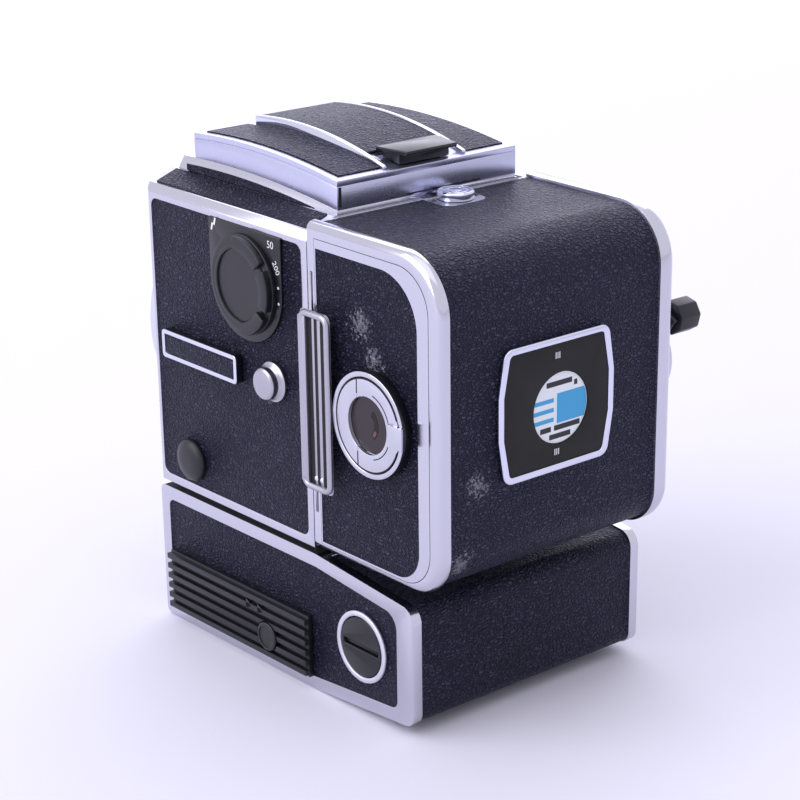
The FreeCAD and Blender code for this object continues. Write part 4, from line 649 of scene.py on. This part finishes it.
# %% Rail inlay and dark sides
RAIL_FRAME = 1.45
_low, _high, _ = reach("accessory_rail")
coat(soft["accessory_rail"], black_enamel, lambda at, facing: abs(facing.x) < 0.5 and at.x < _high.x - 0.5)
inlay = slab("rail_inlay", (_high.x - 0.75, _low.y + RAIL_FRAME, _low.z + RAIL_FRAME),
             (_high.x - 0.1, _high.y - RAIL_FRAME, _high.z - RAIL_FRAME), black_leatherette)
attach(inlay, "accessory_rail", 0.3, 2)

# %% [markdown]
# ## Dial
# The selector dial is a low black knob: a flange, a raised rim round a leather inlay, and three raised grips on the
# side where the thumb comes. Its plate carries a flash sign, a few numbers and two dots. The numbers are plain ones.

# %% Dial knob
FLANGE_RADIUS, RIM_RADIUS, INLAY_RADIUS, GRIP_INNER, GRIP_OUTER = 14.6, 12.0, 10.45, 10.4, 14.4
GRIPS = ((66, 58), (4, 50), (-58, 52))  # middle and sweep in degrees
_, _high, (_, dial_y, dial_z) = reach("dial_knob")
dial_top, plate_top = _high.x, reach("dial_plate")[1].x
knob = bar("knob_flange", (plate_top + 0.05, dial_y, dial_z), "+X", FLANGE_RADIUS, 1.3, black_plastic, 96)
shape(knob, "+X", (1.0, 0.25), (0.4, 0.0))
rim = bar("knob_rim", (plate_top + 0.3, dial_y, dial_z), "+X", RIM_RADIUS, dial_top - plate_top - 1.9, black_plastic,
          96)
shape(rim, "+X", (0.5, 0.3), (0.9, 0), (0, -0.9))
place(join("knob_base", knob, rim), "dial_knob", 0.18)
knob_inlay = bar("knob_inlay", (dial_top - 2.6, dial_y, dial_z), "+X", INLAY_RADIUS, 0.5, black_leatherette, 96)
attach(knob_inlay, "dial_knob", 0.15, 2)
for _middle, _sweep in GRIPS:
    grip = sector("knob_grip", (plate_top, dial_y, dial_z), (plate_top + 0.6, dial_top), GRIP_INNER, GRIP_OUTER,
                  _middle, _sweep, black_plastic)
    attach(grip, "dial_knob", 0.5, 3)

# %% Marks on the dial's plate
PLATE_MARKS = (("50", 22.6, 131.0, 3.0, 0), ("200", 24.9, 124.9, 2.7, -62))
DOT_RADIUS, DOT_Y, DOT_HEIGHTS = 0.42, 25.7, (119.4, 114.8)
FLASH_Y, FLASH_Z, FLASH_LEAN, FLASH_STEP = -3.6, 131.8, -18, (0, -0.7, 0.3)


def written(name, text, at, height, angle):
    """Raised ink characters on a face that looks along +X, at a place in millimetres."""
    deselect()
    bpy.ops.object.text_add()
    words = bpy.context.object
    words.data.body = text
    words.data.size = height * MM
    words.data.align_x, words.data.align_y = "CENTER", "CENTER"
    words.data.extrude = 0.03 * MM
    words.data.resolution_u = 3
    bpy.ops.object.convert(target="MESH")
    upright = Matrix.Rotation(math.radians(90), 4, "X")
    side = Matrix.Rotation(math.radians(90), 4, "Z")
    spin = Matrix.Rotation(math.radians(angle), 4, "Z")
    bpy.context.object.matrix_world = Matrix.Translation(Vector(at) * MM) @ side @ upright @ spin
    return settle(name, white_ink)


for _text, _y, _z, _height, _angle in PLATE_MARKS:
    attach(written("plate_number", _text, (plate_top + 0.02, _y, _z), _height, _angle), "dial_plate")
for _z in DOT_HEIGHTS:
    attach(bar("plate_dot", (plate_top - 0.02, DOT_Y, _z), "+X", DOT_RADIUS, 0.08, white_ink, 20), "dial_plate")
strokes = []
for _name, _from, _to in (("flash_upper", -0.1, 2.1), ("flash_lower", -2.1, 0.1)):
    stroke = slab(_name, (plate_top, FLASH_Y - 0.35, FLASH_Z + _from),
                  (plate_top + 0.06, FLASH_Y + 0.35, FLASH_Z + _to), white_ink)
    strokes.append(turned(stroke, (plate_top, FLASH_Y, FLASH_Z), FLASH_LEAN))
strokes[1].data.transform(Matrix.Translation(Vector(FLASH_STEP) * MM))
attach(join("flash_sign", *strokes), "dial_plate")

# %% [markdown]
# ## Contact plug
# A domed plug covers the flash contact. Its dome is made by four sloping insets.

# %% Contact plug
PLUG_RADIUS, PLUG_STEM_RADIUS, PLUG_FOOT = 6.5, 4.4, 43.8
_low, _, (_, plug_y, plug_z) = reach("contact_plug")
plug = bar("plug_dome", (PLUG_FOOT, plug_y, plug_z), "+X", PLUG_RADIUS, 1.0, black_plastic)
shape(plug, "+X", (0.35, 0.65), (0.8, 0.55), (1.5, 0.4), (2.0, 0.15))
plug_stem = bar("plug_stem", (_low.x + 0.05, plug_y, plug_z), "+X", PLUG_STEM_RADIUS, 44.2 - _low.x, black_plastic)
place(join("plug", plug, plug_stem), "contact_plug", 0.1)

# %% [markdown]
# ## Hood
# The lid closes on the skirts with a rolled edge. Its leather rises to the chrome ribs in a cove with a sharp crease
# at the foot. The folded sheet shows as a black seam at the rear corner, a dull black strip of painted shade lies
# where the slot at the rear is in shade, and the latch is a black lever.

# %% Cove beside the ribs
CREASE, COVE_IN, COVE_OUT, COVE_FRONT, COVE_REAR, COVE_RISE, COVE_FADE = 19.5, 15, 19, -21.0, 35.0, 0.9, 25
cove = welded("lid_leather_coved", "lid_leather")
for _x in (-CREASE, CREASE):
    bpy.ops.mesh.select_all(action="SELECT")
    bpy.ops.mesh.bisect(plane_co=(_x * MM, 0, 0), plane_no=(1, 0, 0))
leave()
_mesh = edit(cove, "VERT")
_moved = 0
for _corner in _mesh.verts:
    _at = _corner.co * 1000
    if COVE_IN < abs(_at.x) < COVE_OUT and COVE_FRONT < _at.y < COVE_REAR and _corner.normal.z > 0.2:
        _corner.co.z += COVE_RISE * min(1, (COVE_REAR - _at.y) / COVE_FADE) * MM
        _moved += 1
bmesh.update_edit_mesh(cove.data)
leave()
print("cove corners moved", _moved)
paint(cove, black_leatherette)
smooth(cove, 25)
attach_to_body(cove, "lid")
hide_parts("lid_leather")

# %% Rolled lid edge, latch lever, corner seam and painted shade in the rear slot
LID_ROLL, LID_EDGE, HOOD_SEAM_TOP, SLOT_ENDS = 0.7, 148.6, 148.2, (-19.5, 8.5)
_, _high, _ = reach("hood_lid")
_count = round_edges(soft["hood_lid"], LID_ROLL, 3, lambda at, run: at.z > LID_EDGE and abs(run.z) < 0.4 and (
    abs(at.x) > _high.x - 0.25 or at.y > _high.y - 0.25))
print("lid edges rolled", _count)
soft["lid_latch"] = softened("lid_latch", black_enamel, 0.25)
_low, _high, _ = reach("hood_frame")
seam_strip = slab("hood_corner_seam", (_high.x - 1.5, _high.y - 0.5, _low.z + 0.9),
                  (_high.x - 0.4, _high.y + 0.04, HOOD_SEAM_TOP), dull_black)
attach(seam_strip, "hood_frame", 0.05)
# Painted shade: a dull black strip along the slot at the rear of the hood.
rear_slot_shade = slab("hood_rear_slot_shade", (SLOT_ENDS[0], _high.y - 0.4, _low.z + 0.35),
                (SLOT_ENDS[1], _high.y + 0.03, _low.z + 0.95), dull_black)
attach(rear_slot_shade, "hood_frame", 0.1)

# %% [markdown]
# ## Magazine side
# The insert's side plate frames a leather panel with a round lock: a chromed ring, a turning key and a half ring that
# folds out. A dark window in the key shows a curved slot with a red end, so the user sees when the film is locked in.
# Thin dark lines stand for the joints between these parts.

# %% Lock ring, key, window and half ring
RING_SHOULDER, WINDOW_RADIUS, SPLIT_START, SPLIT_END = 14.5, 8.0, 8.3, 12.6
KEY_LINES = (("half_ring_step", 9.3, 9.62, 0, 150), ("key_rim_line", 12.95, 13.35, 100, 160),
             ("key_rim_line", 12.95, 13.35, 260, 160))
_, _, (_, key_y, key_z) = reach("insert_lock_ring")
coat(soft["insert_lock_ring"], black_enamel,
     lambda at, facing: abs(facing.x) < 0.5 and Vector((at.y - key_y, at.z - key_z)).length > RING_SHOULDER)
soft["insert_key"] = softened("insert_key", satin_chrome, 0.12)
soft["key_handle"] = softened("key_handle", satin_chrome, 0.14)
smoked = moulded("smoked_key_window", "#3A3436", 0.28, relief=0.1, Metallic=0.6)
red_brown = moulded("red_brown_signal", "#6E3A3C", 0.4, relief=0.05)
key_floor, split_y, _ = reach("key_handle")[0]
window = bar("key_window", (key_floor - 0.1, key_y, key_z), "+X", WINDOW_RADIUS, 0.35, smoked, 64)
attach(window, "insert_key", 0.05)
window_top = key_floor + 0.25
slot_centre = (window_top, key_y - 1.5, key_z)
crescent = sector("key_slot", slot_centre, (window_top, window_top + 0.06), 3.1, 4.9, 2, 110, dull_black)
attach(crescent, "insert_key")
red_end = sector("key_slot_red_end", slot_centre, (window_top, window_top + 0.09), 3.5, 4.5, -34, 26, red_brown)
attach(red_end, "insert_key")
key_front = reach("insert_key")[1].x
print("key face", round(key_front, 2), "split at", round(split_y, 2))
line_from, line_to = key_front - 0.1, key_front + 0.03
for _sign in (1, -1):
    _ends = sorted((key_z + _sign * SPLIT_START, key_z + _sign * SPLIT_END))
    groove = slab("key_split_line", (line_from, split_y - 0.3, _ends[0]), (line_to, split_y + 0.08, _ends[1]),
                  dull_black)
    attach(groove, "insert_key")
for _name, _inner, _outer, _middle, _sweep in KEY_LINES:
    line = sector(_name, (0, key_y, key_z), (line_from, line_to), _inner, _outer, _middle, _sweep, dull_black, 48)
    attach(line, "insert_key")

# %% [markdown]
# ### Dark slide pull
# The blade inside the magazine keeps its solid shape with sharp edges, and its pull is cut off and made anew. A bent
# wire loop is welded to it. Inside the loop lie a flat strip and four narrow bars, held by two tiny rivets, over a
# dull black sheet of painted shade where the inside of the loop lies in shadow. The wire starts as a rectangle
# without a
# face: its corners are rounded, its front side is taken out, and the line that is left becomes a curve with
# thickness.

# %% Blade and wire loop
WIRE, PULL_DEPTH, PULL_BEND, BLADE_END = 1.0, 13.2, 2.2, 1.35
pull_low, pull_high = 65.0, 117.4
blade = softened("dark_slide", brushed_steel, 0.0)
bpy.data.objects.remove(soft.pop("dark_slide"))
_, _high, _ = reach("dark_slide")
edit_all(blade)
bpy.ops.mesh.bisect(plane_co=((_high.x - BLADE_END) * MM, 0, 0), plane_no=(1, 0, 0), clear_outer=True,
                    use_fill=True)
leave()
pull_rear, pull_x = _high.y, _high.x - WIRE
pull_front = pull_rear - PULL_DEPTH
deselect()
bpy.ops.mesh.primitive_plane_add(size=1, location=(0, 0, 0))
loop = bpy.context.object
loop.scale = ((pull_rear - pull_front - WIRE * 2) * MM, (pull_high - pull_low - WIRE * 2) * MM, 1)
bpy.ops.object.transform_apply(scale=True)
loop.rotation_euler = (math.radians(90), 0, math.radians(90))
loop.location = Vector((pull_x, (pull_front + pull_rear) / 2, (pull_low + pull_high) / 2)) * MM
bpy.ops.object.transform_apply(location=True, rotation=True)
edit_all(loop, "FACE")
bpy.ops.mesh.delete(type="ONLY_FACE")
bpy.ops.mesh.select_all(action="SELECT")
bpy.ops.mesh.bevel(offset=PULL_BEND * MM, segments=8, affect="VERTICES")
leave()
pick(loop, lambda at, run: at.y < pull_front + WIRE + 0.1 and abs(run.z) > 0.9)
bpy.ops.mesh.delete(type="EDGE")
leave()
take(loop)
bpy.ops.object.convert(target="CURVE")
loop.data.bevel_depth = WIRE * MM
loop.data.bevel_resolution = 5
loop.data.use_fill_caps = True
bpy.ops.object.convert(target="MESH")
loop = settle("pull_wire", brushed_steel)
print("wire loop faces", len(loop.data.polygons))
attach(loop, "dark_slide")

# %% Painted shade, strips and rivets
# Each strip has its start and end behind the loop's front, and how far it stands out, in millimetres.
STRIPS = ((0.1, 3.2, 0.7), (4.1, 4.9, -0.35), (5.15, 6.2, -0.2), (6.45, 7.25, -0.35), (7.5, 8.9, -0.2))
SHADE_IN, SHADE_OUT, RIVETS = 45.5, 46.6, (5.7, 8.2)
# Painted shade: a dull black sheet behind the strips, where the inside of the loop lies in shadow.
pull_shade = slab("pull_inner_shade", (SHADE_IN, pull_front + 3.2, pull_low + 1.6),
               (SHADE_OUT, pull_front + 11.3, pull_high - 1.6), dull_black)
attach(pull_shade, "dark_slide")
for _start, _end, _out in STRIPS:
    piece = slab("pull_strip", (pull_x - 1.0, pull_front + _start, pull_low + 1.9),
                 (pull_x + _out, pull_front + _end, pull_high - 1.9), brushed_steel)
    attach(piece, "dark_slide", 0.15, 2)
for _behind in RIVETS:
    rivet = bar("pull_rivet", (pull_x - 0.4, pull_front + _behind, pull_low + 3.6), "+X", 0.8, 0.3, bright_chrome, 24)
    shape(rivet, "+X", (0.2, 0.2), (0.3, 0.1))
    attach(rivet, "dark_slide")

# %% [markdown]
# ## Memo holder
# A chromed frame on the magazine's rear holds a black plate with a round window. Behind it lies a card torn off a
# film box. Its design here is an invented one: a pale card with a blue band to one side and dark bars.

# %% Memo plate, card and counter windows
CARD_RADIUS, PRINT_RADIUS, STRIPE, DARK_BAR = 10.2, 10.0, 1.2, 1.5
BLUE_STRIPES = (-3.6, -0.8, 2.0)
DARK_BARS = ((6.4, -4.4, 5.2), (5.4, -6.4, -5.2), (-6.4, -7.5, 2.2), (-8.8, -4.0, 4.0), (-6.4, 3.4, 7.4))
COUNTER_HEIGHTS, TICK_STEP = (107.4, 79.6), 0.7
_, _high, (memo_x, _, _) = reach("memo_plate")
memo_y, card_x, card_z = _high.y, 0.7, 92.0
soft["memo_plate"] = softened("memo_plate", dull_black, 0.15)
card_paper = moulded("printed_card", "#E9EEF2", 0.55, relief=0.05)
card_blue = moulded("card_blue_ink", "#3FA3D6", 0.5, relief=0.05)
card_black = moulded("card_black_ink", "#1B1C20", 0.5, relief=0.05)
card_floor = memo_y - 0.6
attach(bar("card", (card_x, card_floor - 0.1, card_z), "+Y", CARD_RADIUS, 0.2, card_paper), "memo_plate")


def printed(name, low, high, ink):
    """A printed area of the card, kept inside its round outline, in x and z from the card's middle."""
    patch = slab(name, (card_x + low[0], card_floor + 0.05, card_z + low[1]),
                 (card_x + high[0], card_floor + 0.14, card_z + high[1]), ink)
    rest = bar("window_round", (card_x, card_floor - 1, card_z), "+Y", PRINT_RADIUS, 3)
    attach(cut(patch, rest, "INTERSECT"), "memo_plate")


printed("card_band", (-10, -4.4), (1.2, 4.2), card_blue)
for _low_z in BLUE_STRIPES:
    printed("card_stripe", (2.4, _low_z), (10, _low_z + STRIPE), card_blue)
for _low_z, _left, _right in DARK_BARS:
    printed("card_bar", (_left, _low_z), (_right, _low_z + DARK_BAR), card_black)
for _z in COUNTER_HEIGHTS:
    pit = slab("counter_window", (memo_x - 1.6, memo_y - 0.2, _z - 1.9), (memo_x + 1.6, memo_y + 0.05, _z + 1.9),
               dull_black)
    attach(pit, "memo_plate", 0.1)
    for _x in (memo_x - TICK_STEP, memo_x, memo_x + TICK_STEP):
        tick = slab("counter_tick", (_x - 0.15, memo_y, _z - 0.9), (_x + 0.15, memo_y + 0.1, _z + 0.9), white_ink)
        attach(tick, "memo_plate")

# %% [markdown]
# ## Magazine top
# The release button has turned rings and lies on a small chromed plate with round rear corners. In front of it runs
# the narrow lip that meets the camera body: chromed at its edge, with leather behind, on top and below.

# %% Release button, its plate and the lip
BUTTON_RADIUS, BUTTON_STEM_RADIUS, LIP, LIP_LEATHER, TAB_ROUND = 5.4, 1.7, 1.1, 2.45, 3.6
tab_right, tab_left, tab_rear = -11.8, 3.8, 51.2
soft["magazine_shell"] = softened("magazine_shell", satin_chrome, 0.2)
_low, _high, _ = reach("magazine_shell")
coat(soft["magazine_shell"], dull_black, lambda at, facing: at.y > _low.y + 2.6 or abs(facing.x) > 0.5)
lip_rear = _low.y + LIP
for _z, _over in ((_high.z, 0.05), (_low.z, -0.05)):
    _ends = sorted((_z - _over * 8, _z + _over))
    skin = slab("lip_leather", (_low.x + 0.05, lip_rear, _ends[0]), (_high.x - 0.05, _low.y + LIP_LEATHER, _ends[1]),
                worn_leatherette)
    attach(skin, "magazine_shell")
_low, _high, (button_x, button_y, _) = reach("magazine_release_button")
button_top = _high.z
deck = reach("magazine_wrap_leather")[1].z
release = bar("release_disc", (button_x, button_y, button_top - 2.4), "+Z", BUTTON_RADIUS, 1.9, bright_chrome)
shape(release, "+Z", (0.5, 0.45), (0.5, 0), (0, -0.35), (0.6, 0), (0, 0.35), (1.2, 0), (0, -0.35), (0.6, 0),
      (0, 0.35))
release_stem = bar("release_stem", (button_x, button_y, _low.z), "+Z", BUTTON_STEM_RADIUS, button_top - 2.0 - _low.z,
                   bright_chrome, 32)
place(join("magazine_release", release, release_stem), "magazine_release_button", 0.1)
tab = slab("release_tab", (tab_right, lip_rear - 0.1, deck - 0.05), (tab_left, tab_rear, deck + 0.2), satin_chrome)
slot = slab("release_tab_slot", (button_x - 7.2, button_y - 2.1, deck - 1),
            (button_x + 2.1, button_y + 2.1, deck + 1))
cut(tab, slot)
pick(tab, lambda at, run: abs(run.z) > 0.9 and at.y > tab_rear - 0.2 and (
    at.x > tab_left - 0.8 or at.x < tab_right + 0.8))
bpy.ops.mesh.bevel(offset=TAB_ROUND * MM, segments=8)
leave()
attach(tab, "magazine_shell", 0.05)

# %% [markdown]
# ## Film crank
# A turned chrome disc on the magazine's right side carries a folding handle whose knob has eight flats and a pointed
# end, so that it can be gripped with gloves.

# %% Crank disc and handle
CRANK_RADIUS, CRANK_SHAFT_RADIUS, CRANK_ANGLE = 14.0, 2.9, 36.5
ARM_HALF, ARM_THICK, ARM_REACH, KNOB_AT, KNOB_RADIUS = 3.1, 2.2, 16.9, 14.4, 5.15
_low, _high, (_, crank_y, crank_z) = reach("crank_disc")
crank_face = _low.x
crank = bar("crank_turned", (crank_face + 5.35, crank_y, crank_z), "-X", CRANK_RADIUS, 3.2, satin_chrome, 96)
shape(crank, "-X", (0.5, 0.5), (0.6, 0), (0, 0.9), (0.7, 0.7), (7.5, 0.0), (0.8, -0.4))
crank_shaft = bar("crank_shaft", (crank_face + 5.2, crank_y, crank_z), "+X", CRANK_SHAFT_RADIUS,
                  _high.x - crank_face - 5.3, satin_chrome)
place(join("crank", crank, crank_shaft), "crank_disc", 0.15)
_low, _high, _ = reach("crank_handle")
arm_face, knob_foot, knob_end = _high.x, _high.x - ARM_THICK + 0.1, _low.x
arm = slab("crank_arm", (arm_face - ARM_THICK, crank_y - ARM_HALF, crank_z - ARM_HALF),
           (arm_face, crank_y + ARM_HALF, crank_z + ARM_REACH), black_enamel)
knob = bar("crank_knob", (knob_foot, crank_y, crank_z + KNOB_AT), "-X", KNOB_RADIUS, knob_foot - knob_end - 2.0,
           black_plastic, 8)
shape(knob, "-X", (1.5, 1.4), (1.6, 0.55))
handle = turned(join("crank_lever", arm, knob), (0, crank_y, crank_z), -CRANK_ANGLE)
place(handle, "crank_handle", 0.35, 3)

# %% [markdown]
# ## Base
# The ribbed battery door has two arrowheads that show which way it slides and a round lock button in a ring. Its
# front end is cut back a little, and leather fills the place. The coin cap, the mode selector and the release button
# complete the motor base.

# %% Door marks and lock button
DOOR_CUT, ARROWS, ARROW_RADIUS, LOCK_RADIUS = 2.4, ((8.6, 18.5), (14.2, 18.5)), 1.9, 4.4
_low, _high, _ = reach("battery_door")
rib_face, door_tip = _high.x, _low.y + DOOR_CUT
edit_all(soft["battery_door"])
bpy.ops.mesh.bisect(plane_co=(0, door_tip * MM, 0), plane_no=(0, -1, 0), clear_outer=True, use_fill=True)
leave()
smooth(soft["battery_door"])
fill_back, fill_face = 42.6, reach("base_side_leathers")[1].x - 0.02
fill = slab("door_front_leather", (fill_back, _low.y - 0.3, _low.z - 0.3),
            (fill_face, door_tip - 0.05, _high.z + 0.3), black_leatherette)
attach(fill, "base_side_leathers")
for _y, _z in ARROWS:
    arrow = bar("door_arrow", (rib_face - 1.1, _y, _z), "+X", ARROW_RADIUS, 1.1, black_plastic, 3)
    turned(arrow, (rib_face, _y, _z), 90 if arrow.data.vertices[0].co.z * 1000 > _z + 1.5 else 0)
    attach(arrow, "battery_door", 0.15)
_low, _high, (_, lock_y, lock_z) = reach("door_lock_button")
lock = bar("lock_button", (_low.x, lock_y, lock_z), "+X", LOCK_RADIUS, _high.x - _low.x - 0.2, black_plastic)
shape(lock, "+X", (0.5, 0.2), (0.5, 0), (0, -0.35), (2.2, 0.15))
place(lock, "door_lock_button", 0.1)

# %% Coin cap, selector and release
SHUTTER_RADIUS = 4.9
soft["coin_cap"] = softened("coin_cap", black_enamel, 0.3)
soft["mode_selector"] = softened("mode_selector", black_plastic, 0.4)
_low, _high, (_, _, selector_z) = reach("mode_selector")
pointer = slab("selector_pointer", (_low.x - 0.02, _high.y - 4.2, selector_z - 0.35),
               (_low.x + 0.1, _high.y - 1.6, selector_z + 0.35), white_ink)
attach(pointer, "mode_selector")
_low, _high, (release_x, _, release_z) = reach("release_button")
shutter = bar("shutter_button", (release_x, _high.y, release_z), "-Y", SHUTTER_RADIUS, _high.y - _low.y - 0.5,
              bright_chrome)
shape(shutter, "-Y", (0.5, 0.4), (1.0, 0.1), (0.3, -0.2), (1.4, -0.3))
place(shutter, "release_button", 0.1)

# %% [markdown]
# ## Floor and light
# A plain pale floor carries the shadow. The largest lamp is the photographer's window, on the camera's left. One
# behind the object gives the leather on top its sheen and the chrome its bright edges, and a weak one overhead opens
# the shadows. They are kept low enough that a colour renders about as it is written. Camera, glossy and transmitted
# rays see the world at full strength, as a white background, and the light that it gives the object is weaker.

# %% Floor and studio light
FLOOR_SIZE, FLOOR_DROP, SEEN, GIVEN = 16, 0.0002, 1.0, 0.7
# Each lamp has its place, the height that it looks at, its size in metres, its power and its tint.
LAMPS = (("window_light", (2.0, -0.7, 1.4), 0.08, 2.4, 38, "#F3F2FF"),
         ("sheen_light", (-1.5, -1.65, 1.3), 0.12, 2.6, 30, "#EEEDFF"),
         ("ceiling_light", (0.2, 0.3, 1.8), 0.08, 1.8, 6, "#F3F2FF"))
deselect()
bpy.ops.mesh.primitive_plane_add(size=FLOOR_SIZE, location=(0, 0, -FLOOR_DROP))
floor = bpy.context.object
floor.name = "studio_floor"
bpy.ops.object.transform_apply(location=True)
paint(floor, blank("pale_floor_paper", Base_Color=colour("#EFEEF8"), Roughness=0.85)[0])
for _name, _at, _aim, _size, _power, _tint in LAMPS:
    light = bpy.data.lights.new(_name, "AREA")
    light.size, light.energy, light.color = _size, _power, colour(_tint)[:3]
    holder = bpy.data.objects.new(_name, light)
    holder.location = _at
    holder.rotation_euler = (Vector((0, 0, _aim)) - Vector(_at)).to_track_quat("-Z", "Y").to_euler()
    bpy.context.scene.collection.objects.link(holder)
world = bpy.data.worlds.new("studio_world")
world.use_nodes = True
bpy.context.scene.world = world
rays = add_node(world, "LightPath")
seen = rays["Is Camera Ray"]
for _kind in ("Is Glossy Ray", "Is Transmission Ray"):
    seen = add_node(world, "Math", {"operation": "MAXIMUM"}, n0=seen, n1=rays[_kind])[0]
background = world.node_tree.nodes["Background"]
background.inputs["Color"].default_value = colour("#F6F4FF")
feed(background, Strength=add_node(world, "MapRange", n0=seen, n3=GIVEN, n4=SEEN)[0])
bpy.context.scene.view_settings.view_transform = "Standard"
print("lamps", len(bpy.data.lights))
